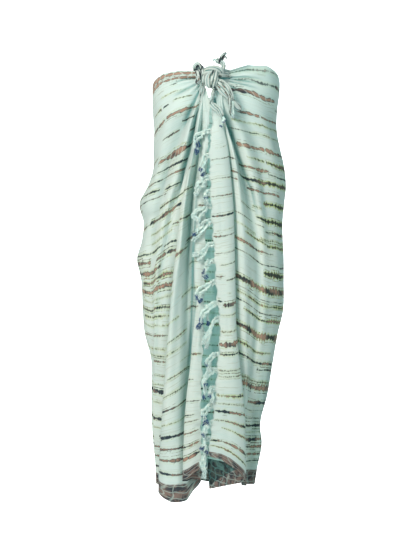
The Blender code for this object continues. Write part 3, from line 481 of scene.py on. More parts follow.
# Tie-dye stripes: height at the side, the thread lines it starts and stops at (0 is the side), thickness
# at both, how dark (0 brown, 1 blue-black), and how much olive yellow bleeds out of it
dye = {
    "left": (
        (-8, 0.2, 4, 12, 9, 0.1, 0.1), (-22, -1, 3.9, 12, 8, 0.15, 0.1), (-46, 1.5, 2.3, 2, 2, 0.9, 0.2),
        (-38, 2.4, 3, 3, 3, 0.9, 0.2), (-28, 3.2, 3.9, 2, 2, 0.9, 0.2), (-62, 1.9, 3.6, 2, 2, 0.6, 0.9),
        (-90, 1.3, 2.2, 3, 3, 0.6, 0.5), (-90, 2.2, 2.7, 7, 6, 1, 0.1), (-87, 2.8, 3.8, 3, 3, 0.6, 0.5),
        (-126, 0.4, 2.7, 5, 7, 0.35, 0.2), (-126, 2.7, 7, 9, 6, 0.3, 0.2),
        (-176, 2.8, 3.9, 6, 6, 0.25, 0.2), (-156, 3.7, 5.4, 5, 6, 0.9, 0.3), (-190, 5, 6.3, 5, 5, 0.3, 0.2),
        (-210, -1, 2.9, 4, 3, 0.4, 0.3), (-224, 2.8, 5.1, 7, 17, 0.15, 0.2),
        (-224, 5.1, 6.6, 4, 3, 0.5, 0.3), (-248, 1.8, 5.8, 3, 5, 0.85, 0.3),
        (-269, -1, 5.3, 4, 3.5, 0.35, 0.3), (-268, 5.3, 5.8, 7, 5, 1, 0.1),
        (-289, 8.6, 11.6, 4, 4, 0.35, 0.3), (-292, 0.5, 3.8, 5, 5, 0.9, 0.4),
        (-299, 4.2, 6, 5, 3, 0.8, 0.4), (-311, -1, 4.6, 4, 3, 0.35, 0.2), (-338, 4, 11.6, 5, 4, 0.8, 0.5),
        (-325, -2, 2, 9, 5, 0.4, 0.3), (-364, 3.2, 6.4, 7, 10, 0.4, 0.4), (-362, 6.4, 8.2, 11, 9, 0.9, 0.2),
        (-368, -1, 3.6, 7, 3, 0.5, 0.4), (-392, 3.5, 6.4, 2, 3, 0.5, 0.9), (-401, 6.6, 12, 3, 5, 0.35, 0.4),
        (-388, 16.4, 18, 5, 5, 0.3, 0.2), (-411, 3.6, 7, 2, 2, 0.5, 1), (-434, 5.6, 7.6, 4, 4, 0.9, 0.3),
        (-450, 11, 17.6, 4, 5, 0.3, 0.3), (-428, 1, 5.4, 4, 4, 0.9, 0.5), (-444, -2, 3.9, 9, 8, 0.35, 0.3),
        (-449, 4.6, 8, 6, 6, 0.35, 0.3), (-462, 8.5, 11.6, 5, 5, 0.4, 0.4), (-465, -1, 5.6, 9, 8, 0.4, 0.4),
        (-483, 2.4, 9.4, 6, 5, 0.6, 0.6), (-501, 1.5, 9.6, 9, 8, 0.15, 0.3), (-497, 12, 17, 2, 3, 0.5, 0.5),
        (-519, 2, 10, 1.5, 1.5, 0.5, 1), (-540, 11, 17.6, 3, 3, 0.4, 0.6), (-536, -1, 8, 5, 4, 0.6, 0.6),
        (-551, 2.4, 8.4, 4, 3, 0.6, 0.8), (-570, 1, 11, 2, 2, 0.5, 0.9), (-600, -1, 2.4, 6, 4, 0.2, 0.3),
        (-592, 2.4, 8.8, 4, 3, 0.25, 0.3), (-572, 11.5, 17, 3, 4, 0.35, 0.4),
        (-612, 8.6, 12, 3, 3, 0.5, 0.6), (-624, 0, 9, 2, 2, 0.5, 0.9), (-641, 3, 12, 3, 2, 0.6, 0.7),
        (-652, 0, 2.6, 3, 3, 0.4, 0.3), (-655, 4.6, 9.4, 6, 4, 0.25, 0.3), (-672, -1, 2.5, 7, 4, 0.35, 0.3),
        (-676, 11, 18, 2, 4, 0.4, 0.5), (-700, 1.2, 3.4, 6, 6, 1, 0.1), (-691, 4, 9.6, 3, 3, 0.3, 0.5),
        (-704, 9.8, 12.2, 4, 4, 0.4, 0.5), (-715, 0, 8, 2, 2, 0.5, 0.8), (-733, -1, 7.6, 13, 11, 0.75, 0.2),
        (-746, 8, 12, 3, 3, 0.6, 0.6), (-743, 14, 17, 4, 5, 0.1, 0.2), (-762, 1, 8, 2, 2, 0.5, 0.8),
        (-784, 7.4, 10.8, 7, 6, 0.95, 0.12), (-786, 10.8, 14, 4, 4, 0.5, 0.4),
        (-801, 14, 18, 3, 3, 0.2, 0.2), (-808, -1, 7.6, 11, 9, 0.65, 0.3), (-824, 8, 12, 2, 2, 0.5, 0.9),
        (-837, 13, 17.5, 4, 3, 0.3, 0.3), (-834, 1, 8, 2, 2, 0.5, 0.8), (-855, 14, 18, 2, 3, 0.3, 0.3),
        (-858, 6.5, 13, 10, 6, 0.8, 0.12), (-870, -1, 5, 5, 5, 0.5, 0.4), (-886, 13.6, 18, 5, 4, 0.3, 0.3),
        (-889, -1, 12, 6, 6, 0.6, 0.15), (-916, -1, 12, 6, 7, 0.5, 0.15), (-923, 13.4, 18, 6, 5, 0.3, 0.3),
        (-948, 4, 12.6, 6, 5, 0.5, 0.15), (-956, 13, 18, 9, 9, 0.7, 0.3),
    ),
    "right": (
        (-9, 4.2, 1, 1.5, 3, 0.6, 0.4), (-24, 3.6, 0.6, 2, 4, 0.75, 0.3), (-35, 4.4, 3.2, 2, 2, 0.8, 0.2),
        (-46, 4.6, 1.4, 8, 8, 0.2, 0.1), (-64, 1.4, -1, 4, 6, 0.8, 0.2), (-96, 4.3, 3, 7, 8, 0.2, 0.1),
        (-96, 3, 0.8, 7, 3, 0.3, 0.2), (-117, 5.4, -1, 2, 3, 0.7, 1), (-139, 5.8, 4.2, 2.5, 4, 0.75, 0.3),
        (-141, 4.2, -1, 3, 1.5, 0.7, 0.7), (-177, 5.7, 3.4, 11, 12, 0.1, 0.2),
        (-180, 3.4, -1, 9, 5, 0.2, 0.3), (-206, 5.2, 3.6, 1, 4, 0.6, 1), (-211, 3.6, -2, 7, 14, 0.8, 1),
        (-229, 9, 6.8, 5, 4, 0.3, 0.2), (-231, 6.2, 3.4, 6, 7, 0.3, 0.3), (-239, 3.6, -1, 4, 5, 0.7, 0.3),
        (-264, 8, 6.8, 7, 6, 0.3, 0.2), (-261, 6.6, 4.6, 6, 7, 0.85, 0.4), (-260, 4.6, -2, 8, 13, 0.8, 0.9),
        (-282, 8.4, 6.9, 6, 3, 0.25, 0.2), (-284, 5.8, 2.4, 8, 5, 0.25, 0.2),
        (-310, 4.4, -2, 7, 12, 0.85, 1), (-337, 7, 5.4, 2, 3, 0.7, 0.4), (-350, 5.6, 4.4, 3, 9, 0.8, 0.6),
        (-351, 4.4, -2, 10, 14, 0.85, 0.9), (-326, 5.8, 4.6, 2, 2, 0.5, 1),
        (-369, 8.6, 4.6, 2, 3, 0.6, 0.3), (-378, 4.6, -2, 4, 12, 0.75, 0.5), (-395, 8, 5.8, 1.5, 2, 0.5, 1),
        (-398, 5.4, 0, 2, 4, 0.6, 1), (-408, 6.8, 4.4, 4, 3, 0.6, 1), (-412, 4.4, -1, 4, 10, 0.75, 1),
        (-435, 8.8, 5.6, 8, 7, 0.25, 0.3), (-430, 5.6, 3.4, 5, 2, 0.3, 0.3),
        (-461, 8.8, 4.8, 2.5, 3, 0.6, 0.3), (-459, 4.8, 0, 3, 5, 0.9, 0.2),
        (-480, 5.2, -2, 10, 15, 0.75, 0.9), (-526, 9, 6.4, 10, 15, 0.7, 0.5),
        (-521, 6.4, -2, 15, 18, 0.5, 0.7), (-546, 9, 1.4, 2, 2.5, 0.8, 0.3), (-559, 7.6, -1, 3, 6, 0.7, 1),
        (-578, 9, 0, 3, 3, 0.6, 0.3), (-594, 7.2, -2, 4, 12, 0.6, 0.8), (-635, 9, 6.6, 9, 15, 0.6, 0.5),
        (-634, 6.6, -2, 15, 18, 0.45, 0.7), (-674, 9, 3, 5, 3, 0.6, 1), (-700, 9, 2, 4, 8, 0.7, 0.4),
        (-716, 5, -1, 4, 6, 0.8, 0.3), (-746, 8.6, 1, 3, 3, 0.5, 0.8), (-761, 8.8, -2, 11, 15, 0.5, 0.4),
        (-797, 6, -1, 7, 9, 0.6, 0.3), (-816, 7.6, 2, 2, 2, 0.8, 0.3), (-835, 9, 0, 2.5, 3, 0.7, 0.3),
        (-852, 8.4, -1, 6, 9, 0.8, 0.3), (-868, 8, 1, 1.5, 2, 0.5, 0.8), (-885, 8.6, -2, 8, 10, 0.45, 0.3),
        (-903, 8.4, -1, 6, 7, 0.45, 0.3), (-921, 8.6, -1, 5, 6, 0.45, 0.3), (-939, 8.6, 0, 4, 5, 0.7, 0.3),
        (-196, 11.2, 9.2, 1.5, 1.5, 0.6, 0.3), (-229, 12, 9, 2, 3.5, 0.3, 0.2),
        (-283, 12, 9, 2, 3, 0.25, 0.3), (-328, 12, 9, 3, 4, 0.2, 0.2), (-378, 12, 10.6, 4, 5, 1, 0.1),
        (-378, 10.6, 9, 5, 4, 0.6, 0.2), (-414, 12, 9, 1.2, 1.2, 0.5, 0.6), (-428, 12, 9, 4, 4, 0.25, 0.2),
        (-470, 12, 9, 2, 3, 0.2, 0.2), (-498, 11.5, 9, 2, 3, 0.9, 0.4), (-524, 12, 10.6, 3, 3, 0.3, 0.2),
        (-535, 10.6, 9, 3, 4, 0.5, 0.3), (-566, 10.6, 9.8, 2, 2, 0.7, 0.5),
        (-583, 12, 11.2, 5, 5, 0.9, 0.2), (-592, 11.3, 9, 8, 9, 0.3, 0.3), (-616, 12, 9, 1.5, 3, 0.6, 0.6),
        (-653, 12, 9, 3, 3, 0.35, 0.6), (-681, 12, 9, 9, 12, 0.3, 0.3), (-701, 12, 9, 4, 4, 0.6, 0.5),
        (-734, 12, 9, 3, 3, 0.4, 0.5), (-747, 12, 9, 2, 3, 0.4, 0.5), (-790, 12, 9, 4, 4, 0.7, 0.9),
        (-810, 12, 9, 2, 3, 0.6, 0.6), (-832, 12, 10.6, 9, 8, 0.95, 0.2), (-831, 10.6, 9, 7, 6, 0.4, 0.3),
        (-860, 12, 9, 4, 6, 0.5, 0.5), (-886, 11.2, 9, 2, 4, 0.6, 0.9), (-934, 12, 10.6, 7, 6, 0.9, 0.4),
        (-926, 10.6, 9, 8, 8, 0.4, 0.3), (-955, 12, 9, 4, 4, 0.5, 0.8),
    ),
    # all round the back the stripes are whole: height, thickness, darkness, bleed
    "back": (
        (-20, 6, 0.3, 0.2), (-46, 3, 0.7, 0.8), (-70, 9, 0.25, 0.2), (-98, 4, 0.6, 0.9),
        (-122, 6, 0.4, 0.3), (-150, 12, 0.3, 0.4), (-178, 3, 0.7, 0.9), (-205, 8, 0.8, 0.9),
        (-236, 5, 0.4, 0.4), (-262, 11, 0.7, 0.8), (-290, 4, 0.5, 0.6), (-318, 9, 0.3, 0.3),
        (-345, 6, 0.8, 0.9), (-376, 13, 0.5, 0.6), (-404, 3, 0.6, 0.9), (-430, 8, 0.3, 0.3),
        (-458, 5, 0.7, 0.8), (-484, 12, 0.6, 0.8), (-512, 4, 0.4, 0.6), (-538, 9, 0.3, 0.4),
        (-566, 5, 0.7, 0.9), (-596, 13, 0.5, 0.7), (-624, 4, 0.5, 0.8), (-650, 8, 0.4, 0.4),
        (-680, 5, 0.8, 0.8), (-708, 11, 0.5, 0.5), (-738, 4, 0.5, 0.9), (-766, 9, 0.4, 0.4),
        (-796, 6, 0.7, 0.6), (-824, 11, 0.6, 0.5), (-854, 4, 0.5, 0.8), (-882, 8, 0.5, 0.4),
        (-910, 6, 0.6, 0.5), (-938, 7, 0.5, 0.4),
    ),
    "borderHeight": 38,
    # how near its end a stroke bends to meet the next one, or thins out, and how far beside it is bare
    "joinLength": 24, "thinLength": 7, "apart": 4.6,
    # strokes that differ less than this in height and place run on into each other
    "sameHeight": 9, "samePlace": 0.05,
    # a stroke with less bleed than this is beaded; "golden" spreads the ends of the strokes unevenly
    "beadedBelow": 0.45, "golden": 0.618,
    "farAway": 30,  # counts as this much further away where there is no stroke
    # waves: size, longest, shortest; of the thickness, of all stripes at once, of each one, of the darkness
    "thickWaves": (0.34, 110, 22), "allWaves": (1.2, 240, 60), "ownWaves": (0.8, 200, 50),
    "darkWaves": (1, 120, 24), "darkUneven": 0.22,
    "beadLength": (19, 7), "beadLeast": 0.5, "beadMore": 0.65,  # a bead's length and how much it varies
}


def unevenLines(count, x, size, slow, quick):
    # a few sine waves with their own phases for each stripe
    waves = 0
    for k in range(4):
        length = dice.uniform(quick, slow, (count, 1))
        waves = waves + np.sin(2 * pi * (x[None] / length + dice.uniform(0, 1, (count, 1)))) / (1 + 0.5 * k)
    return size * waves / 2


def dyeColumns(rows, level, x, place):
    # for each point: how far the nearest stripe's middle is, its half thickness, darkness and bleed
    rows = np.array(rows, float)
    uneven = (np.arange(len(rows)) * dye["golden"]) % 1
    rows[:, 1:3] *= np.where(rows[:, 1:3] < 0, 0.7 + 1.6 * uneven[:, None], 1)
    height, start, stop, bleed = rows[:, :1], rows[:, 1:2], rows[:, 2:3], rows[:, -1]
    way = (place[None] - start) / (stop - start)
    order = np.argsort(place)
    startX, stopX = (np.interp(end, place[order], x[order]) for end in (start, stop))
    length = np.maximum(np.abs(stopX - startX), 1)
    thick = rows[:, 3:4] + (rows[:, 4:5] - rows[:, 3:4]) * np.clip(way, 0, 1)
    # where one stroke runs on into the next they meet halfway, else each thins out to its end
    shift, taper, free = 0, (way > 0) & (way < 1), 1
    for mine, theirs, near in ((1, 2, way), (2, 1, 1 - way)):
        meets = np.abs(rows[:, [mine]] - rows[:, theirs]) < dye["samePlace"]
        meets &= np.abs(height - rows[:, 0]) < dye["sameHeight"]
        other, joined = np.argmax(meets, axis=1), meets.any(axis=1)[:, None]
        close = np.clip(1 - near * length / dye["joinLength"], 0, 1) ** 2 * joined
        shift = shift + close * (rows[other, :1] - height) / 2
        thick = thick + close * (rows[other, 2 + theirs][:, None] - rows[:, [2 + mine]]) / 2
        taper = taper * np.where(joined, 1, np.clip(near * length / dye["thinLength"] + 0.25, 0, 1))
        free = free * (1 - close)
    thick = np.maximum(thick, 0) * taper ** 0.7
    thick = thick * np.clip(0.96 + unevenLines(len(rows), x, *dye["thickWaves"]), 0.1, 1.35)
    # where the dye bled little a stroke is drawn in at uneven steps, like beads
    beadLength = dye["beadLength"][0] + dye["beadLength"][1] * np.sin(height)
    bead = dye["beadLeast"] + dye["beadMore"] * np.abs(np.sin(pi * x[None] / beadLength + height)) ** 0.45
    thick = thick * np.where(bleed[:, None] < dye["beadedBelow"], bead, 1)
    middle = height + shift + unevenLines(1, x, *dye["allWaves"])
    middle = middle + free * unevenLines(len(rows), x, *dye["ownWaves"])
    off = level[None] - middle[:, None, :]
    half = np.broadcast_to(thick[:, None, :] / 2, off.shape)
    best = np.argmin(np.abs(off) - half + dye["farAway"] * (half <= 0), axis=0)
    pick = lambda a: np.take_along_axis(np.broadcast_to(a, off.shape), best[None], axis=0)[0]
    half = half * (np.abs(off) - half < dye["apart"])
    uneven = pick(unevenLines(len(rows), x, *dye["darkWaves"])[:, None, :])
    dark = rows[:, -2][best] + dye["darkUneven"] * uneven
    return pick(off), pick(half), np.clip(dark, 0, 1), bleed[best]


leftCount, backCount = len(leftPlaces), wrap["backColumns"]
blendSides = np.concatenate([0 * leftShare, part, 1 + 0 * rightShare])
levelLeft, levelRight = (top + (hem - top) * share for top, hem in (wrap["leftSide"], wrap["rightSide"]))
level = levelLeft[:, None] * (1 - blendSides) + levelRight[:, None] * blendSides
# the two tables of the front run on round the sides, and the back's own takes over between them
farOff, roundSide = 99, 12  # in thread lines
leftAround = np.concatenate([leftPlaces, -roundSide * part, -farOff - rightShare])
rightAround = np.concatenate([-farOff - leftShare, -roundSide * (1 - part), rightPlaces])
fromSide = roundSide - np.abs(2 * roundSide * part - roundSide)
backAround = np.concatenate([-1 - leftShare, fromSide, -1 - rightShare])
leftDye = dyeColumns(dye["left"], level, threadX, leftAround)
rightDye = dyeColumns(dye["right"], level, threadX, rightAround)
backRows = [(height, 0.4 + 5.6 * (dye["golden"] * k % 1), roundSide + 1, 0.6 * thick, thick, dark, bleed)
            for k, (height, thick, dark, bleed) in enumerate(dye["back"])]
backDye = dyeColumns(backRows, level, threadX, backAround)
# the back's stripes are thinner where those of the fronts begin
backDye = (backDye[0], backDye[1] * np.interp(backAround, (0, 9.8, 11.2), (1, 1, 0.35)), *backDye[2:])
allDye = [leftDye, rightDye, backDye]
inside = np.stack([np.abs(d[0]) - d[1] + dye["farAway"] * (d[1] < 0.1) for d in allDye])
best = np.argmin(inside, axis=0)[None]
stripeOff, stripeHalf, stripeDark, stripeBleed = (
    np.take_along_axis(np.stack([d[i] for d in allDye]), best, axis=0)[0] for i in range(4))
# towards both ends of the cloth the border is narrower
narrow = np.interp(rightAround, (-12, 6, 9, 12), (1, 1, 1.5, 2))
narrow = narrow * np.interp(leftAround, (12, 14, 18), (1, 1.35, 1.6))
hemAway = (level - level[-1]) * narrow
print("dye", stripeOff.shape)

# painted shade: where the cloth is painted a deeper teal as shade in its folds and hollows, and how much
paintedShade = {
    "crease": 0.8, "fold": 0.45, "cloud": 0.55, "hollow": 0.6, "lowRightPaintedShade": 0.4,
    # a fold is judged against the columns round it: painted shade starts this deep and is full so much deeper
    "columns": 11, "starts": 1.6, "full": 12,
    # how far across the painted shade in the hollow beside the left fringed end reaches, and where along the
    # height it lies
    "hollowDown": (236, 360, 483, 537, 641, 711, 785, 868),
    "hollowEnd": (-46, -50, -46, -40, -52, -63, -70, -75),
    "hollowWide": 30, "hollowShows": (210, 330, 820, 930),
    "lowRightPlaces": (-2, 0, 3.6, 4.4), "lowRightHeights": (-600, 140),
}


# adds more painted shade on top of what is already painted
def addPaintedShade(amount):
    return foldShade + amount * (1 - foldShade)


columns = np.arange(grid.shape[1])
onBack = (columns >= leftCount) & (columns < leftCount + backCount)
reachOut = np.where(onBack, -1, 1) * grid[..., 1]
window = paintedShade["columns"]
padded = np.pad(reachOut, ((0, 0), (window, window)), mode="edge")
total = np.cumsum(np.pad(padded, ((0, 0), (1, 0))), axis=1)
around = (total[:, 2 * window + 1:] - total[:, :-2 * window - 1]) / (2 * window + 1)
awayFromSide = np.clip(np.minimum(np.abs(leftAround), np.abs(rightAround)) / 2.5, 0, 1)
# painted shade along sharp creases, and in folds that lie deeper than the columns round them
paintedSunkShade = np.clip((reachOut - around - paintedShade["starts"]) / paintedShade["full"], 0, 1) ** 0.8 * awayFromSide
paintedCreaseShade = np.concatenate([leftPaintedCreaseShade, 0 * backGrid[..., 0], rightPaintedCreaseShade], axis=1)
foldShade = paintedShade["crease"] * paintedCreaseShade + paintedShade["fold"] * paintedSunkShade * (1 - paintedCreaseShade)
# painted shade in uneven clouds on the back, inside and out, which shows through the gap of the front
x, down = grid[..., 0], -grid[..., 2]
cloud = np.sin(x / 5.2 - 1.6 * np.sin(down / 41)) * np.sin(x / 17 - down / 29)
foldShade = addPaintedShade(paintedShade["cloud"] * np.clip(cloud, 0, 1) * np.clip(backAround / 2, 0, 1))
# painted shade in the hollow where the left front sinks in behind its fringed end
into = np.interp(down, paintedShade["hollowDown"], paintedShade["hollowEnd"]) - x
hollow = np.clip(1 - into / paintedShade["hollowWide"], 0, 1) ** 1.2 * np.clip(into / 2, 0, 1)
hollow = hollow * np.interp(down, paintedShade["hollowShows"], (0, 1, 1, 0)) * (leftAround > 0)
foldShade = addPaintedShade(paintedShade["hollow"] * hollow)
# painted shade low on the right, on the cloth that lies behind the panel
start, length = paintedShade["lowRightHeights"]
paintedShadeBehindPanel = np.interp(rightAround, paintedShade["lowRightPlaces"], (0, 1, 1, 0))
foldShade = addPaintedShade(paintedShade["lowRightPaintedShade"] * paintedShadeBehindPanel * np.clip((start - level) / length, 0, 1))


def newObject(name, data):
    made = bpy.data.objects.new(name, data)
    bpy.context.scene.collection.objects.link(made)
    return made


def gridMesh(name, points, attributes, u, v):
    # a sheet of quads with its outer side out; u and v are metres along the threads
    rows, columns = points.shape[:2]
    index = np.arange(rows * columns).reshape(rows, columns)
    quads = np.stack([index[:-1, :-1], index[:-1, 1:], index[1:, 1:], index[1:, :-1]], axis=-1).reshape(-1, 4)
    mesh = bpy.data.meshes.new(name)
    mesh.from_pydata((points.reshape(-1, 3) * mm).tolist(), [], quads.tolist())
    uvLayer = mesh.uv_layers.new(name="threads")
    uv = np.stack([u.reshape(-1), v.reshape(-1)], axis=-1)[quads.reshape(-1)]
    uvLayer.data.foreach_set("uv", uv.astype(np.float32).reshape(-1))
    for key, values in attributes.items():
        mesh.attributes.new(key, "FLOAT", "POINT").data.foreach_set(
            "value", np.broadcast_to(values, (rows, columns)).astype(np.float32).reshape(-1))
    mesh.shade_smooth()
    return newObject(name, mesh)


def linear(code):
    values = [int(code[i:i + 2], 16) / 255 for i in (1, 3, 5)]
    return tuple(c / 12.92 if c <= 0.04045 else ((c + 0.055) / 1.055) ** 2.4 for c in values) + (1.0,)


def addNode(tree, kind, settings=None, inputs=(), out=0):
    node = tree.nodes.new(kind)
    for key, value in (settings or {}).items():
        setattr(node, key, value)
    for key, value in (inputs if isinstance(inputs, dict) else dict(enumerate(inputs))).items():
        if isinstance(value, bpy.types.NodeSocket):
            tree.links.new(value, node.inputs[key])
        else:
            node.inputs[key].default_value = value
    return node if out is None else node.outputs[out]


# kinds of node and settings that come up again and again
math, ramp, mix, noise = "ShaderNodeMath", "ShaderNodeMapRange", "ShaderNodeMix", "ShaderNodeTexNoise"
vector, shiny, finish = "ShaderNodeVectorMath", "ShaderNodeBsdfPrincipled", "ShaderNodeOutputMaterial"
rgba, smooth = {"data_type": "RGBA"}, {"interpolation_type": "SMOOTHSTEP"}
add, subtract, multiply, multiplyAdd, pingPong, absolute, scale = ({"operation": word} for word in (
    "ADD", "SUBTRACT", "MULTIPLY", "MULTIPLY_ADD", "PINGPONG", "ABSOLUTE", "SCALE"))


def newMaterial(name):
    material = bpy.data.materials.new(name)
    material.use_nodes = True
    material.node_tree.nodes.clear()
    return material, material.node_tree


rayon = {
    "colours": {
        "aqua": "#D5DDD5", "aquaPale": "#DEE3D9", "aquaDeep": "#B3D2CD", "faintLine": "#A3AA8C",
        "brown": "#B38D78", "blueBlack": "#323D48", "oliveBlack": "#414536", "outline": "#50605F",
        "olive": "#C3CA84", "foldTeal": "#62A3A6", "glow": "#A2D6D8",
        "borderLight": "#876F65", "borderDark": "#3C4044", "threadLight": "#BBC5B9",
    },
    "through": 0.46,
    # how far apart the ties are across a stripe and across the border, and the rows up the border
    "tied": 10, "borderTied": 20, "borderRow": 13,
    # noise on the cloth: its size along the weft and along the warp, detail, roughness
    "grain": {
        "patch": (35.7, 35.7, 2.0, 0.5), "cloud": (143, 143, 2.0, 0.5), "blotch": (13.33, 13.33, 4.0, 0.6),
        "streak": (2.381, 9.09, 2.5, 0.5), "weft": (62.5, 3.03, 2.0, 0.5),
        "crinkle": (16.67, 2.381, 3.0, 0.5),  # coarser than the 0.3 mm threads, so that it shows
    },
    "haloEdge": (-4.2, -0.4),  # outside the stroke, where its olive halo starts and where it is full
}


def clothMaterial(name, look):
    # woven rayon, plain weave, dyed by tying: soft and thin, so light comes through it and glows teal; its
    # folds, creases and hollows also get painted shade in a deeper teal
    material, tree = newMaterial(name)
    tint = {key: linear(code) for key, code in look["colours"].items()}
    off, half, dark, bleed, hem, fold = (
        addNode(tree, "ShaderNodeAttribute", {"attribute_name": a}, out=2)
        for a in ("stripeOff", "stripeHalf", "stripeDark", "stripeBleed", "hemAway", "foldShade"))
    threads = addNode(tree, "ShaderNodeUVMap", {"uv_map": "threads"})
    across = addNode(tree, "ShaderNodeSeparateXYZ", inputs=(threads,))
    grain = {}
    for key, (alongWeft, alongWarp, detail, roughness) in look["grain"].items():
        drawn = (1 / (alongWeft * mm), 1 / (alongWarp * mm), 1.0)
        drawn = addNode(tree, "ShaderNodeMapping", inputs={"Vector": threads, "Scale": drawn})
        grain[key] = addNode(tree, noise, {"noise_dimensions": "2D"},
                             {"Vector": drawn, "Scale": 1.0, "Detail": detail, "Roughness": roughness})
    # beads: the thread that tied the cloth left pale lines across each stripe
    wobble = addNode(tree, math, multiplyAdd, (grain["patch"], 2.2, -1.1))
    tie, borderTie = (addNode(tree, math, multiplyAdd, (across, 1 / (look[key] * mm), wobble))
                      for key in ("tied", "borderTied"))
    tie = addNode(tree, math, pingPong, (tie, 0.5))
    beadLine = addNode(tree, ramp, smooth, (tie, 0.02, 0.13, 1.0, 0.0))
    # a stroke swells between two ties, the more the dye bled, and its edge is ragged
    least = addNode(tree, math, multiplyAdd, (bleed, -0.42, 0.88))
    most = addNode(tree, math, multiplyAdd, (bleed, 0.3, 1.04))
    swell = addNode(tree, ramp, {}, (tie, 0.0, 0.5, least, most))
    rough = addNode(tree, math, multiplyAdd, (bleed, 7.0, 2.3))
    ragged = addNode(tree, math, subtract, (grain["streak"], 0.51))
    ragged = addNode(tree, math, multiply, (ragged, rough))
    away = addNode(tree, math, absolute, (off,))
    edge = addNode(tree, math, multiply, (half, swell))
    edge = addNode(tree, math, subtract, (edge, away))
    edge = addNode(tree, math, add, (edge, ragged))
    present = addNode(tree, ramp, smooth, (half, 0.25, 0.8))
    thin = addNode(tree, ramp, {}, (half, 0.5, 1.9, 0.5))
    pale = addNode(tree, ramp, {}, (dark, 0.45, 0.2, 0.0, -0.55))
    cut = addNode(tree, math, multiplyAdd, (beadLine, pale, 1.0))
    core = addNode(tree, ramp, smooth, (edge, -0.5, 0.7))
    for factor in (present, thin, cut):
        core = addNode(tree, math, multiply, (core, factor))
    haloBy = addNode(tree, ramp, {}, (half, 0.7, 3.0, 0.35, 1.1))
    halo = addNode(tree, ramp, smooth, (edge, *look["haloEdge"]))
    for factor in (bleed, present, haloBy):
        halo = addNode(tree, math, multiply, (halo, factor))
    # ground: aqua with pale yellowish and deeper patches, and faint lines of dye along the weft
    pale = addNode(tree, ramp, {}, (grain["cloud"], 0.38, 0.66))
    faint = addNode(tree, ramp, smooth, (grain["weft"], 0.64, 0.72, 0.0, 0.36))
    deep = addNode(tree, ramp, smooth, (grain["weft"], 0.42, 0.24, 0.0, 0.30))
    ground = tint["aqua"]
    for amount, over in ((pale, "aquaPale"), (faint, "faintLine"), (deep, "aquaDeep"), (halo, "olive")):
        ground = addNode(tree, mix, rgba, {0: amount, "A": ground, "B": tint[over]}, out=2)
    # dye: brown with dark flecks, a darker outline, and near black where most of it gathered
    darkest = addNode(tree, mix, rgba, {0: bleed, "A": tint["blueBlack"], "B": tint["oliveBlack"]}, out=2)
    speck = addNode(tree, math, multiplyAdd, (grain["patch"], 2.4, -1.2))
    darkNow = addNode(tree, math, add, (dark, speck))
    darkNow = addNode(tree, ramp, smooth, (darkNow, 0.2, 0.85))
    tick = addNode(tree, ramp, {}, (dark, 0.22, 0.42, 0.0, 0.85))
    tick = addNode(tree, math, multiply, (beadLine, tick))
    inner = addNode(tree, ramp, smooth, (edge, 0.7, 2.3))
    rim = addNode(tree, ramp, {}, (inner, 0.0, 1.0, 0.92, 0.0))
    rim = addNode(tree, math, {"operation": "MAXIMUM"}, (rim, tick))
    dyed = tint["brown"]
    for amount, over in ((darkNow, darkest), (rim, tint["outline"])):
        dyed = addNode(tree, mix, rgba, {0: amount, "A": dyed, "B": over}, out=2)
    # border along the hem: mottled brown-grey, crossed by pale lines where it was tied
    border = addNode(tree, math, multiplyAdd, (grain["patch"], 12.0, hem))
    border = addNode(tree, ramp, smooth, (border, dye["borderHeight"] + 8.0, dye["borderHeight"] + 3.0))
    mottle = addNode(tree, ramp, smooth, (grain["blotch"], 0.34, 0.64))
    upright = addNode(tree, math, pingPong, (borderTie, 0.5))
    level = addNode(tree, math, multiplyAdd, (hem, 1 / look["borderRow"], grain["patch"]))
    level = addNode(tree, math, pingPong, (level, 0.5))
    lattice = addNode(tree, math, {"operation": "MINIMUM"}, (upright, level))
    lattice = addNode(tree, ramp, smooth, (lattice, 0.0, 0.13, 0.6, 0.0))
    banded = tint["borderDark"]
    for amount, over in ((mottle, "borderLight"), (lattice, "threadLight")):
        banded = addNode(tree, mix, rgba, {0: amount, "A": banded, "B": tint[over]}, out=2)
    colour = ground
    for amount, over in ((core, dyed), (border, banded)):
        colour = addNode(tree, mix, rgba, {0: amount, "A": colour, "B": over}, out=2)
    # painted shade: the colour is multiplied towards teal where the cloth lies in a fold, crease or hollow
    darken = {"data_type": "RGBA", "blend_type": "MULTIPLY"}
    colour = addNode(tree, mix, darken, {0: fold, "A": colour, "B": tint["foldTeal"]}, out=2)
    glowColour = addNode(tree, mix, darken, {0: 0.9, "A": colour, "B": tint["glow"]}, out=2)
    bump = addNode(tree, "ShaderNodeBump",
                   inputs={"Strength": 0.35, "Distance": 0.0012, "Height": grain["crinkle"]})
    body = addNode(tree, shiny, inputs={
        "Base Color": colour, "Roughness": 0.82, "Specular IOR Level": 0.25, "Sheen Weight": 0.15,
        "Sheen Roughness": 0.5, "Normal": bump})
    glow = addNode(tree, "ShaderNodeBsdfTranslucent", inputs={"Color": glowColour, "Normal": bump})
    both = addNode(tree, "ShaderNodeMixShader", inputs=(look["through"], body, glow))
    addNode(tree, finish, inputs={"Surface": both}, out=None)
    return material


rayonCloth = clothMaterial("dyedRayonWeave", rayon)

threadU = np.broadcast_to(threadX * mm, level.shape)
cloth = gridMesh("wrappedCloth", grid, {
    "stripeOff": stripeOff, "stripeHalf": stripeHalf, "stripeDark": stripeDark,
    "stripeBleed": stripeBleed, "hemAway": hemAway, "foldShade": foldShade}, threadU, level * mm)
cloth.data.materials.append(rayonCloth)
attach(cloth, "root")
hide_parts("left_front", "right_front", "back")
print("cloth", len(cloth.data.polygons) * 2)


def ahead(x, z, lift):
    x, z = np.asarray(float(x)), np.asarray(float(z))
    return Vector(onForm(angleOf(x, z), lift, z))


def unit(rows):
    return rows / np.linalg.norm(rows, axis=-1, keepdims=True)


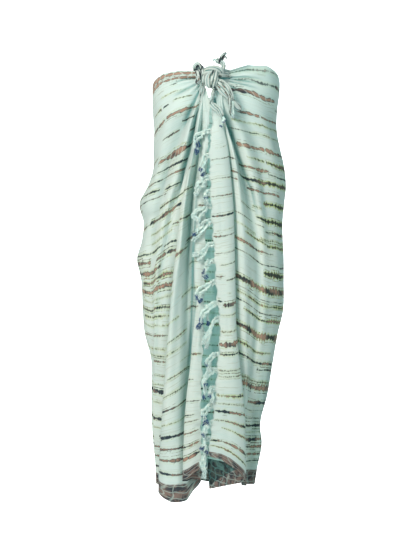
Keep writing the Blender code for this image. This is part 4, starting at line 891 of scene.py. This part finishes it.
def bend(points, steps):
    known = np.array([tuple(p) for p in points], float)
    known = np.vstack([2 * known[0] - known[1], known, 2 * known[-1] - known[-2]])
    out = [centripetal([known[i + j][None] for j in range(4)], k / steps)[0]
           for i in range(len(points) - 1) for k in range(steps)]
    return np.array(out + [known[-2]])


# the corner of the right end, turned under behind the slanting hem of the right front
flap = {
    "rows": 40, "columns": 60, "topEdge": (-15, -928, -7), "tip": (-10, -1004, -1),
    "ridge": 2.0, "ridgeWide": 0.16, "hollow": 2.0, "tuck": 1.6,
    # its right edge starts this many thread lines from the cloth's end, this far down the cloth
    "lineFromEnd": 2, "share": 0.99, "shareRise": 0.012,
    # where the turn-under folds, and how much painted shade its inner face gets above the fold
    "foldAt": 0.9, "foldSlant": 0.7, "paintedShade": 0.85, "border": 34,
    # the flat cloth of it: width and lean of the weft, height, how far it starts below its fold, slant
    "wide": 110, "lean": 30, "high": 52, "below": 14, "slant": 36, "stripeAt": 26,
}
flapAcross = np.linspace(0, 1, flap["columns"])[None]
flapDown = np.linspace(0, 1, flap["rows"])[:, None]
# above the fold its inner face shows, painted in shade, below it the border
belowFold = flapDown - flap["foldAt"] + flap["foldSlant"] * flapAcross
flapPoints = []
for down, below in zip(flapDown[:, 0], belowFold):
    place = len(rightLines) - 1 - (flap["lineFromEnd"] + down)
    at = flap["share"] - flap["shareRise"] * (1 - down)
    angle, proud, z = frontColumn(rightLines, place, np.array([at]))
    right = onForm(angle, proud - flap["tuck"], z)[0]
    x, z, lift = (a + (b - a) * down for a, b in zip(flap["topEdge"], flap["tip"]))
    left = np.array(ahead(x, z, lift))
    row = left + (right - left) * flapAcross.T
    ridge = flap["ridge"] * np.exp(-((below / flap["ridgeWide"]) ** 2))
    row[:, 1] -= np.sin(pi * flapAcross[0]) * (ridge - flap["hollow"] * (1 - down))
    flapPoints.append(row)
flapU = (flap["wide"] * flapAcross + flap["lean"] * flapDown) * mm
flapV = flap["high"] * (1 - flapDown) - flap["below"] + flap["slant"] * flapAcross
cornerFlap = gridMesh("cornerFlap", np.array(flapPoints), {
    "stripeOff": flapV - flap["stripeAt"], "stripeHalf": 2.2, "stripeDark": 0.9, "stripeBleed": 0.3,
    "hemAway": np.clip(np.abs(flapV), 0, flap["border"]),
    "foldShade": np.where(belowFold < 0, flap["paintedShade"], 0.0)}, flapU, flapV * mm)
cornerFlap.data.materials.append(rayonCloth)
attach(cornerFlap, "root")
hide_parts("corner_flap")

plainCloth = 400.0  # further from the hem than the border reaches
# the knot and the ends that leave it; a station is across, height, how far ahead of the form it lies,
# half width and half depth
knot = {
    "sides": 120,
    "steps": 12,
    "twistLength": 20,
    "endLength": 3.5,  # each end closes over this length
    # node it stands for, pleats, their depth, twist, dye streaks as angle, thickness and darkness, stations
    "parts": {
        "knotWrap": ("knot_wrap", 6, 0.34, 0.5, (
            (40, 2, 0.9), (95, 1.2, 0.7), (150, 2.4, 0.9), (300, 2, 0.8)), (
            (-27, 16, 2, 6, 5), (-22, 27, 8, 8, 8), (-11, 34, 13, 9, 10), (3, 36, 14, 9, 10),
            (14, 33, 11, 10, 9), (22, 27, 5, 9, 6))),
        "knotDrop": ("knot_drop", 9, 0.4, 0.15, (
            (60, 3, 0.5), (84, 4.4, 1.0), (112, 2, 0.7), (140, 3, 0.5)), (
            (3, 36, 12, 7, 6), (0, 26, 18, 11, 9), (-3, 12, 19, 16, 10), (-4, 0, 16, 15, 9),
            (-3, -9, 12, 10, 6))),
        "knotLeft": (None, 5, 0.4, 0.2, (
            (80, 2.6, 0.9), (130, 1.5, 0.5)), (
            (-15, 36, 8, 5, 6), (-21, 28, 11, 6, 7), (-23, 12, 9, 7, 7), (-25, -4, 5, 7, 5),
            (-29, -24, 0, 6, 4), (-34, -44, -6, 5, 3))),
        "knotRight": (None, 7, 0.4, 0.1, (
            (60, 2.6, 0.9), (100, 1.2, 0.6), (120, 3, 0.7)), (
            (8, 24, 14, 8, 8), (16, 22, 9, 11, 7), (26, 22, 3, 14, 5), (38, 22, -5, 14, 4),
            (48, 22, -15, 12, 2))),
        "knotTie": (None, 4, 0.3, 0.6, (
            (40, 5, 1.0), (90, 5, 1.0), (140, 5, 1.0)), (
            (-5, -4, 13, 5, 5), (3, -9, 14, 6, 5), (12, -13, 12, 4, 4))),
        # a loop whose dark streaks paint the shade of the deep crease beside the knot on the left
        "knotLoopPaintedShade": (None, 5, 0.4, 0.4, (
            (50, 5, 1.0), (85, 7, 1.0), (130, 5, 0.9)), (
            (-27, 46, 10, 4, 4), (-25, 38, 13, 5, 5), (-23, 27, 14, 5, 5), (-21, 15, 12, 4, 4))),
        "tailProng": (None, 4, 0.36, 0.3, (
            (60, 8, 1.0), (120, 8, 1.0), (240, 9, 1.0)), (
            (15, 52, 9, 4.5, 4), (19, 62, 9, 6, 5), (23, 71, 9, 5.5, 4), (32, 79, 9, 3, 2))),
        "tailProngLow": (None, 3, 0.36, 0.3, (
            (60, 5, 1.0), (120, 5, 1.0), (240, 6, 1.0)), (
            (21, 65, 9, 3, 3), (28, 68, 9, 3, 2), (33, 64, 9, 1.8, 1.4))),
        "tailStrand": (None, 5, 0.36, 0.3, (
            (60, 3, 0.7), (85, 2.4, 0.2), (115, 3, 0.9)), (
            (37, -32, 15, 5, 4), (40, -54, 13, 4, 3.5), (43, -71, 11, 6, 3.5), (51, -84, 7, 3.5, 2))),
        "tailLeaf": (None, 6, 0.3, 0.1, (
            (60, 2, 0.2), (120, 2.4, 0.6)), (
            (45, -38, 12, 4, 3), (52, -48, 9, 7, 3), (60, -56, 6, 8, 2.4), (69, -63, 3, 4, 1.6))),
        "tailKnob": (None, 4, 0.36, 0.5, (
            (40, 6, 1.0), (95, 7, 1.0), (150, 6, 0.8)), (
            (-34, 47, 17, 3, 3), (-38, 41, 20, 5, 4), (-38, 34, 18, 3.5, 3))),
        "tailHang": (None, 6, 0.4, 0.2, (
            (45, 6, 0.9), (78, 3, 0.1), (108, 7, 1.0), (145, 5, 0.7)), (
            (-40, 36, 14, 4, 4), (-34, 26, 15, 6, 5), (-33, 13, 13, 7, 5), (-39, 1, 10, 4.5, 3))),
        "tailUpperLeft": ("tail_upper_left", 5, 0.3, 0.8, (
            (60, 4, 1.0), (110, 3, 0.9), (200, 3, 0.6)), (
            (-24, 31, 8, 5, 5), (-30, 40, 10, 6, 6), (-37, 47, 12, 8, 8), (-41, 42, 14, 8, 7),
            (-40, 33, 14, 5, 5))),
        "tailUpperRight": ("tail_upper_right", 5, 0.3, 0.6, (
            (70, 2, 0.8), (120, 1.4, 0.6), (260, 2, 0.7)), (
            (19, 30, 6, 6, 5), (24, 42, 8, 5.5, 5), (23, 52, 9, 5.5, 5), (15, 57, 9, 6, 4),
            (6, 61, 9, 6, 4))),
        "tailLowerRight": ("tail_lower_right", 9, 0.4, 0.12, (
            (40, 2, 0.9), (56, 4, 0.3), (72, 2, 0.9), (100, 4, 0.25), (124, 2.4, 0.7), (142, 1.6, 0.9)), (
            (8, 6, 14, 8, 6), (17, -2, 17, 12, 7), (28, -14, 18, 14, 6), (38, -28, 16, 11, 5),
            (44, -41, 13, 6, 4))),
        "tailCentre": ("tail_centre", 6, 0.36, 0.4, (
            (70, 1.6, 0.8), (110, 2, 0.4)), (
            (1, -14, 9, 4, 3), (-3, -32, 9, 4, 3), (-6, -48, 11, 5, 3.5), (2, -56, 13, 7, 4.5),
            (13, -65, 15, 7, 4.5), (22, -80, 13, 5, 4))),
    },
}


def gathered(name, pleats, depth, twist, streaks, stations):
    # a bunch of cloth: its outline is folded into pleats that run along it
    centres = np.array([tuple(ahead(*row[:3])) for row in stations])
    route = bend(centres, knot["steps"])
    sizes = bend([(row[3], row[4], 0) for row in stations], knot["steps"])
    way = unit(np.gradient(route, axis=0))
    across = unit(np.cross(way, (0, -1, 0)))
    outward = np.cross(across, way)
    along = np.concatenate([[0], np.cumsum(np.linalg.norm(np.diff(route, axis=0), axis=1))])
    a = np.linspace(2 * pi, 0, knot["sides"] + 1)[None]  # round this way, so that the outer side is out
    s = along[:, None]
    phase = a + twist * s / knot["twistLength"]
    phase = phase + 0.22 * np.sin(s / 17 + 2 * a) + 0.3 * np.sin(a + 1.3 * pleats)
    valley = np.abs(np.sin(pleats * phase / 2))
    swell = 1 + depth * (valley ** 0.55 - 0.8) + 0.5 * depth * np.sin(2 * phase + pleats) * valley
    ends = np.clip((np.minimum(s, s[-1] - s) + 1.2) / knot["endLength"], 0, 1) ** 0.5
    ring = (across[:, None] * (sizes[:, :1] * np.cos(a))[..., None]
            + outward[:, None] * (sizes[:, 1:2] * np.sin(a))[..., None]) * (swell * ends)[..., None]
    points = route[:, None] + ring
    reach = np.maximum(sizes[:, :1], sizes[:, 1:2])
    turned = phase - twist * s / knot["twistLength"] + pi
    off = np.stack([((turned - radians(at)) % (2 * pi) - pi) * reach for at, _, _ in streaks])
    thick = np.array([row[1] for row in streaks])[:, None, None] / 2
    near = np.argmin(np.abs(off) - thick, axis=0)[None]
    pick = lambda values: np.take_along_axis(np.broadcast_to(values, off.shape), near, axis=0)[0]
    half = pick(thick) * np.clip(0.6 + 0.7 * np.sin(s / 4.3 + 2 * near[0] + pleats), 0, 1.2)
    # the valleys of the pleats get painted shade
    piece = gridMesh(name, points, {
        "stripeOff": pick(off), "stripeHalf": half,
        "stripeDark": pick(np.array([row[2] for row in streaks])[:, None, None]),
        "stripeBleed": 0.2, "hemAway": plainCloth, "foldShade": np.clip(1.3 - valley * 2.3, 0, 1)},
        np.broadcast_to(s * mm, points.shape[:2]), a * reach * mm)
    bm = bmesh.new()
    bm.from_mesh(piece.data)
    bmesh.ops.remove_doubles(bm, verts=bm.verts, dist=1e-6)
    bmesh.ops.holes_fill(bm, edges=[e for e in bm.edges if e.is_boundary], sides=0)
    bmesh.ops.recalc_face_normals(bm, faces=bm.faces)
    bm.to_mesh(piece.data)
    bm.free()
    piece.data.shade_smooth()
    piece.data.materials.append(rayonCloth)
    return piece


for name, (node, *shape) in knot["parts"].items():
    piece = gathered(name, *shape)
    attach(piece, "root")
    if node:
        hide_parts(node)

# fringe of the two short ends: height of each root, then across and down at the first bend, the second
# and the end
fringe = {
    "yarns": 18, "yarnRadius": 0.5, "lockRadius": 1.7, "twist": 3.0, "seed": 3,
    "goldenAngle": 2.39996, "tieAt": 0.2,  # radians from yarn to yarn, and where along a lock it is tied
    "colours": {"aqua": "#BFD5CD", "pale": "#DFE6D8", "paintedYarnShade": "#8DB9B6", "navy": "#22456C"},
    # a second lock starts this far below the first, and reaches out less; some ends are dyed navy
    "below": 6.2, "shorter": 4.6, "atLeast": 7.0, "navyShare": 0.62, "navy": (1.0, 0.15),
    "steps": 6, "crumple": (1.5, 0.7, 1.5), "tailNavy": {"tailCentre": 0.9}, "tailPale": 0.3,
    "blotch": 7.14,  # size of the paler blotches on the yarns
    # how far a yarn strays from its lock at the root, and how much further at the end
    "strays": 2.6, "straysMore": 5.5,
    "right": (
        (-112, -20, 4, -38, 22, -33, 45), (-172, -12, 5, -20, 26, -18, 42), (-226, -14, 5, -28, 22, -36, 36),
        (-262, -9, 4, -12, 13, -11, 20), (-298, -15, 5, -36, 24, -31, 38), (-334, -16, 7, -33, 28, -42, 38),
        (-391, -16, 6, -35, 26, -46, 32), (-434, -14, 5, -24, 20, -23, 32), (-485, -16, 6, -36, 22, -36, 44),
        (-537, -17, 7, -39, 30, -43, 52), (-575, -13, 5, -30, 40, -34, 70), (-664, -14, 5, -24, 18, -23, 34),
        (-703, -16, 5, -30, 26, -27, 44), (-749, -9, 3, -12, 14, -11, 25), (-792, -14, 5, -24, 20, -23, 34),
        (-834, -12, 5, -20, 22, -22, 36), (-874, -9, 4, -13, 16, -15, 27), (-909, -9, 4, -12, 30, -10, 56),
    ),
    "left": (
        (-545, 7, 6, 9, 26, 7, 54), (-612, 6, 6, 7, 24, 5, 44), (-735, 6, 6, 7, 24, 5, 42),
        (-808, 6, 6, 7, 22, 5, 38), (-862, 6, 6, 7, 20, 6, 36), (-905, 6, 6, 8, 26, 6, 52),
    ),
    # loose yarns of the knot's ends: across, down and out from where the tail ends
    "tails": {
        "tailUpperLeft": ((6, 31, 0), (9, 24, 1)),
        "tailUpperRight": ((-5, -2, 0), (-4, 2, 1)),
        "tailLowerRight": ((3, 42, 1),),
        "tailCentre": ((-5, 26, 0), (2, 16, 2), (7, 11, 0)),
    },
}


def endPoint(row, z):
    return float(through(wrap["heights"], row[2], z)), float(creaseDepth(row, z))


def yarnTree(settings, material):
    # each route becomes a lock: copies are spread round it, twisted, pinched at the tie and swept into tubes
    tree = bpy.data.node_groups.new("yarnLocks", "GeometryNodeTree")
    sockets = {}
    tree.interface.new_socket("Geometry", in_out="INPUT", socket_type="NodeSocketGeometry")
    for name, kind, value in (("Yarns", "Int", settings["yarns"]),
                              ("Lock radius", "Float", settings["lockRadius"] * mm),
                              ("Yarn radius", "Float", settings["yarnRadius"] * mm),
                              ("Twist", "Float", settings["twist"]), ("Seed", "Int", settings["seed"])):
        sockets[name] = tree.interface.new_socket(name, in_out="INPUT", socket_type="NodeSocket" + kind)
        sockets[name].default_value = value
    tree.interface.new_socket("Geometry", in_out="OUTPUT", socket_type="NodeSocketGeometry")
    given = addNode(tree, "NodeGroupInput", out=None).outputs
    along = addNode(tree, "GeometryNodeInputNamedAttribute", {"data_type": "FLOAT"}, {"Name": "along"})
    curves = addNode(tree, "GeometryNodeMeshToCurve", inputs={"Mesh": given["Geometry"]})
    copies = addNode(tree, "GeometryNodeDuplicateElements", {"domain": "SPLINE"},
                     {"Geometry": curves, "Amount": given["Yarns"]}, out=None).outputs
    number = copies["Duplicate Index"]
    chance = addNode(tree, "FunctionNodeRandomValue", {"data_type": "FLOAT"},
                     {"ID": number, "Seed": given["Seed"]}, out=1)
    turn = addNode(tree, math, multiplyAdd, (number, settings["goldenAngle"], chance))
    turn = addNode(tree, math, multiplyAdd, (along, given["Twist"], turn))
    # radius along the lock: full at the root, pinched at the tie, loose at the end
    tie = addNode(tree, math, subtract, (along, settings["tieAt"]))
    tie = addNode(tree, math, absolute, (tie,))
    size = addNode(tree, ramp, smooth, (tie, 0.0, 0.12, 0.62, 1.0))
    loose = addNode(tree, ramp, smooth, (along, 0.7, 1.0, 1.0, 1.7))
    inner = addNode(tree, math, multiplyAdd, (chance, 0.7, 0.35))
    for factor in (loose, given["Lock radius"], inner):
        size = addNode(tree, math, multiply, (size, factor))
    normal = addNode(tree, "GeometryNodeInputNormal")
    tangent = addNode(tree, "GeometryNodeInputTangent")
    aside = addNode(tree, vector, {"operation": "CROSS_PRODUCT"}, (tangent, normal))
    first, second = (
        addNode(tree, vector, scale, {0: way, "Scale": addNode(tree, math, {"operation": wave}, (turn,))})
        for way, wave in ((normal, "COSINE"), (aside, "SINE")))
    offset = addNode(tree, vector, add, (first, second))
    offset = addNode(tree, vector, scale, {0: offset, "Scale": size})
    # each yarn strays from its lock, more so towards its end
    drift = addNode(tree, math, multiply, (chance, 40.0))
    stray = addNode(tree, noise, {"noise_dimensions": "4D"},
                    {"Vector": addNode(tree, "GeometryNodeInputPosition"), "W": drift, "Scale": 170.0,
                     "Detail": 2.0}, out=1)
    stray = addNode(tree, vector, subtract, (stray, (0.5, 0.5, 0.5)))
    strayBy = addNode(tree, math, multiplyAdd, (along, settings["straysMore"] * mm, settings["strays"] * mm))
    stray = addNode(tree, vector, scale, {0: stray, "Scale": strayBy})
    offset = addNode(tree, vector, add, (offset, stray))
    moved = addNode(tree, "GeometryNodeSetPosition", inputs={"Geometry": copies[0], "Offset": offset})
    tagged = addNode(tree, "GeometryNodeStoreNamedAttribute", {"data_type": "FLOAT", "domain": "POINT"},
                     {"Geometry": moved, "Name": "yarn", "Value": chance})
    profile = addNode(tree, "GeometryNodeCurvePrimitiveCircle",
                      inputs={"Resolution": 5, "Radius": given["Yarn radius"]})
    tubes = addNode(tree, "GeometryNodeCurveToMesh",
                    inputs={"Curve": tagged, "Profile Curve": profile, "Fill Caps": True})
    rounded = addNode(tree, "GeometryNodeSetShadeSmooth", inputs={"Geometry": tubes})
    real = addNode(tree, "GeometryNodeRealizeInstances", inputs={"Geometry": rounded})
    done = addNode(tree, "GeometryNodeSetMaterial", inputs={"Geometry": real, "Material": material})
    addNode(tree, "NodeGroupOutput", inputs={"Geometry": done}, out=None)
    return tree, sockets


def yarnMaterial(name, look):
    # spun rayon yarn of the same cloth: pale aqua, its tied ends dyed navy, with a slight silky gloss
    material, tree = newMaterial(name)
    along, yarn, navy = (addNode(tree, "ShaderNodeAttribute", {"attribute_name": a}, out=2)
                         for a in ("along", "yarn", "navy"))
    where = addNode(tree, "ShaderNodeTexCoord", out=None).outputs["Object"]
    blotch = addNode(tree, noise, inputs={"Vector": where, "Scale": 1 / (look["blotch"] * mm), "Detail": 2.0})
    pale = addNode(tree, ramp, {}, (blotch, 0.35, 0.65))
    # painted shade: some yarns are mixed towards a shaded teal, at random
    paintedYarnShade = addNode(tree, ramp, {}, (yarn, 0.0, 1.0, 0.0, 0.34))
    tip = addNode(tree, math, multiplyAdd, (blotch, 0.3, along))
    tip = addNode(tree, ramp, smooth, (tip, 1.0, 1.05))
    tip = addNode(tree, math, multiply, (tip, navy))
    tint = {key: linear(code) for key, code in look["colours"].items()}
    colour = tint["aqua"]
    for amount, over in ((pale, "pale"), (paintedYarnShade, "paintedYarnShade"), (tip, "navy")):
        colour = addNode(tree, mix, rgba, {0: amount, "A": colour, "B": tint[over]}, out=2)
    silky = addNode(tree, shiny, inputs={
        "Base Color": colour, "Roughness": 0.62, "Specular IOR Level": 0.35, "Sheen Weight": 0.2})
    addNode(tree, finish, inputs={"Surface": silky}, out=None)
    return material


yarn = yarnMaterial("spunRayonYarn", fringe)
yarnNodes, yarnSockets = yarnTree(fringe, yarn)


def yarnPiece(name, routes, lockRadius, node=None):
    # routes: points in mm and how navy the end is
    vertices, edges, along, navy = [], [], [], []
    for points, tint in routes:
        start = len(vertices)
        vertices += (np.array(points) * mm).tolist()
        edges += [(start + i, start + i + 1) for i in range(len(points) - 1)]
        along += list(np.linspace(0, 1, len(points)))
        navy += [tint] * len(points)
    mesh = bpy.data.meshes.new(name + "Routes")
    mesh.from_pydata(vertices, edges, [])
    mesh.attributes.new("along", "FLOAT", "POINT").data.foreach_set("value", along)
    mesh.attributes.new("navy", "FLOAT", "POINT").data.foreach_set("value", navy)
    guide = newObject(name + "Routes", mesh)
    modifier = guide.modifiers.new("locks", "NODES")
    modifier.node_group = yarnNodes
    modifier[yarnSockets["Lock radius"].identifier] = lockRadius * mm
    evaluated = guide.evaluated_get(bpy.context.evaluated_depsgraph_get())
    made = bpy.data.meshes.new_from_object(evaluated)
    bpy.data.objects.remove(guide)
    piece = newObject(name, made)
    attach(piece, "root")
    if node:
        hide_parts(node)
    return piece


def fringeRoutes(row, bundles, side, lift, locks):
    routes = []
    for root, *bends in bundles:
        for k in range(locks):
            height = root - fringe["below"] * k
            x, proud = endPoint(row, height)
            points = [ahead(x + side * 0.4, height, proud - 0.8), ahead(x + side * 3.4, height, proud - 0.4)]
            for j, (across, down, raised) in enumerate(zip(bends[::2], bends[1::2], lift)):
                if k:
                    across = side * max(abs(across) - fringe["shorter"], fringe["atLeast"])
                    down += fringe["below"] + 2 * j + 1
                across, sag = across * dice.uniform(0.78, 1.18), dice.uniform(-3, 3)
                points.append(ahead(x + side * 2.6 + across, root - down + sag, proud + raised))
            route = bend(points, fringe["steps"])
            loose = route[4:]  # crumpled by the dyeing
            loose += dice.normal(0, 1, loose.shape) * fringe["crumple"]
            routes.append((route, fringe["navy"][0 if dice.random() < fringe["navyShare"] else 1]))
    return routes


rightEnd, leftEnd = wrap["right"][0], wrap["left"][-1]
rightRoutes = fringeRoutes(rightEnd, fringe["right"], -1, (4, 8, 7), 2)
leftRoutes = fringeRoutes(leftEnd, fringe["left"], 1, (1, 1, 0), 1)
fringeRight = yarnPiece("fringeRight", rightRoutes, 3.6, "fringe_right")
fringeLeft = yarnPiece("fringeLeft", leftRoutes, 2.4, "fringe_left")
tailRoutes = []
for name, ends in fringe["tails"].items():
    last, before = (np.array(tuple(ahead(*row[:3]))) for row in knot["parts"][name][-1][:-3:-1])
    out = unit(last - before)
    for across, down, forward in ends:
        goal = last + np.array((across, -forward, -down))
        first = last + out * 4
        route = bend([last - out * 3, first, (first + goal) / 2 + out, goal], fringe["steps"])
        tailRoutes.append((route, fringe["tailNavy"].get(name, fringe["tailPale"])))
tailYarns = yarnPiece("tailYarns", tailRoutes, 2.0)
print("fringe", *(len(piece.data.polygons) for piece in (fringeRight, fringeLeft, tailYarns)))

# a narrow rolled edge down each fringed end, which the yarns grow out of
rolled = {"radius": 0.8, "sides": 8, "ahead": 0.3}


def rolledEdge(name, column):
    points = (column - (0, rolled["ahead"], 0)) * mm
    way = unit(np.gradient(points, axis=0))
    aside = unit(np.cross(way, (0, -1, 0)))
    up = np.cross(aside, way)
    a = np.linspace(0, 2 * pi, rolled["sides"] + 1)[None, :, None]
    uneven = 1 + 0.25 * np.sin(np.arange(len(points)) * 0.9)[:, None, None]
    ring = aside[:, None] * np.cos(a) + up[:, None] * np.sin(a)
    ring = points[:, None] + ring * rolled["radius"] * mm * uneven
    u, v = (np.broadcast_to(values, ring.shape[:2]) for values in (a[..., 0] * mm, share[:, None]))
    piece = gridMesh(name, ring / mm, {
        "stripeOff": stripeOff[:, :1], "stripeHalf": stripeHalf[:, :1] * 0.6, "stripeDark": 0.6,
        "stripeBleed": 0.2, "hemAway": plainCloth}, u, v)
    piece.data.materials.append(rayonCloth)
    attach(piece, "root")
    return piece


edgeRight = rolledEdge("rolledEdgeRight", grid[:, -1])
edgeLeft = rolledEdge("rolledEdgeLeft", grid[:, 0])

# pale studio sweep, well below the hem, which hangs clear of the floor
studio = {
    "floor": -1.38, "back": 2.4, "bend": 0.9, "bendSteps": 12, "wide": 1.8, "front": -5.0, "height": 3.2,
    "air": (0.62, 0.91, 1, 1), "airStrength": 0.22, "lookAt": (0, 0, -0.35),
    "cameraAt": (-0.033, -3.8, -0.45), "lens": 100.6, "sensor": 36,
}
sweep = [(studio["front"], studio["floor"])]
for k in range(studio["bendSteps"] + 1):
    a = radians(90 * k / studio["bendSteps"])
    sweep.append((studio["back"] - studio["bend"] + studio["bend"] * np.sin(a),
                  studio["floor"] + studio["bend"] * (1 - np.cos(a))))
sweep.append((studio["back"], studio["height"]))
mesh = bpy.data.meshes.new("studioSweep")
mesh.from_pydata([(x, y, z) for y, z in sweep for x in (-studio["wide"], studio["wide"])], [],
                 [(2 * i, 2 * i + 1, 2 * i + 3, 2 * i + 2) for i in range(len(sweep) - 1)])
mesh.shade_smooth()
floor = newObject("studioSweep", mesh)
paper, tree = newMaterial("whitePaper")  # matt paper roll, lit from behind where it hangs upright
where = addNode(tree, "ShaderNodeTexCoord", out=None).outputs["Object"]
depth = addNode(tree, "ShaderNodeSeparateXYZ", inputs=(where,), out=1)
upright = addNode(tree, ramp, {}, (depth, 1.2, 1.8))
paperShader = addNode(tree, shiny, inputs={
    "Base Color": linear("#FAFAFA"), "Roughness": 0.95, "Emission Color": (1, 1, 1, 1),
    "Emission Strength": upright})
addNode(tree, finish, inputs={"Surface": paperShader}, out=None)
mesh.materials.append(paper)

lights = {
    "key": {"at": (-2.0, -2.8, 1.5), "size": 1.2, "watts": 206, "colour": (1, 0.96, 0.935)},
    "fill": {"at": (1.7, -2.6, 0.9), "size": 2.0, "watts": 44, "colour": (0.8, 0.96, 1)},
}
for name, look in lights.items():
    data = bpy.data.lights.new(name, "AREA")
    data.size = look["size"]
    data.energy = look["watts"]
    data.color = look["colour"]
    lamp = newObject(name, data)
    lamp.location = look["at"]
    lamp.rotation_euler = (Vector(studio["lookAt"]) - lamp.location).to_track_quat("-Z", "Y").to_euler()
world = bpy.data.worlds.new("softWhite")
world.use_nodes = True
world.node_tree.nodes["Background"].inputs["Color"].default_value = studio["air"]
world.node_tree.nodes["Background"].inputs["Strength"].default_value = studio["airStrength"]
bpy.context.scene.world = world
bpy.context.scene.view_settings.view_transform = "Standard"

cameraData = bpy.data.cameras.new("photoCamera")
cameraData.lens = studio["lens"]
cameraData.sensor_width = studio["sensor"]
camera = newObject("photoCamera", cameraData)
camera.location = studio["cameraAt"]
camera.rotation_euler = (radians(90), 0, 0)
bpy.context.scene.camera = camera
print("studio")
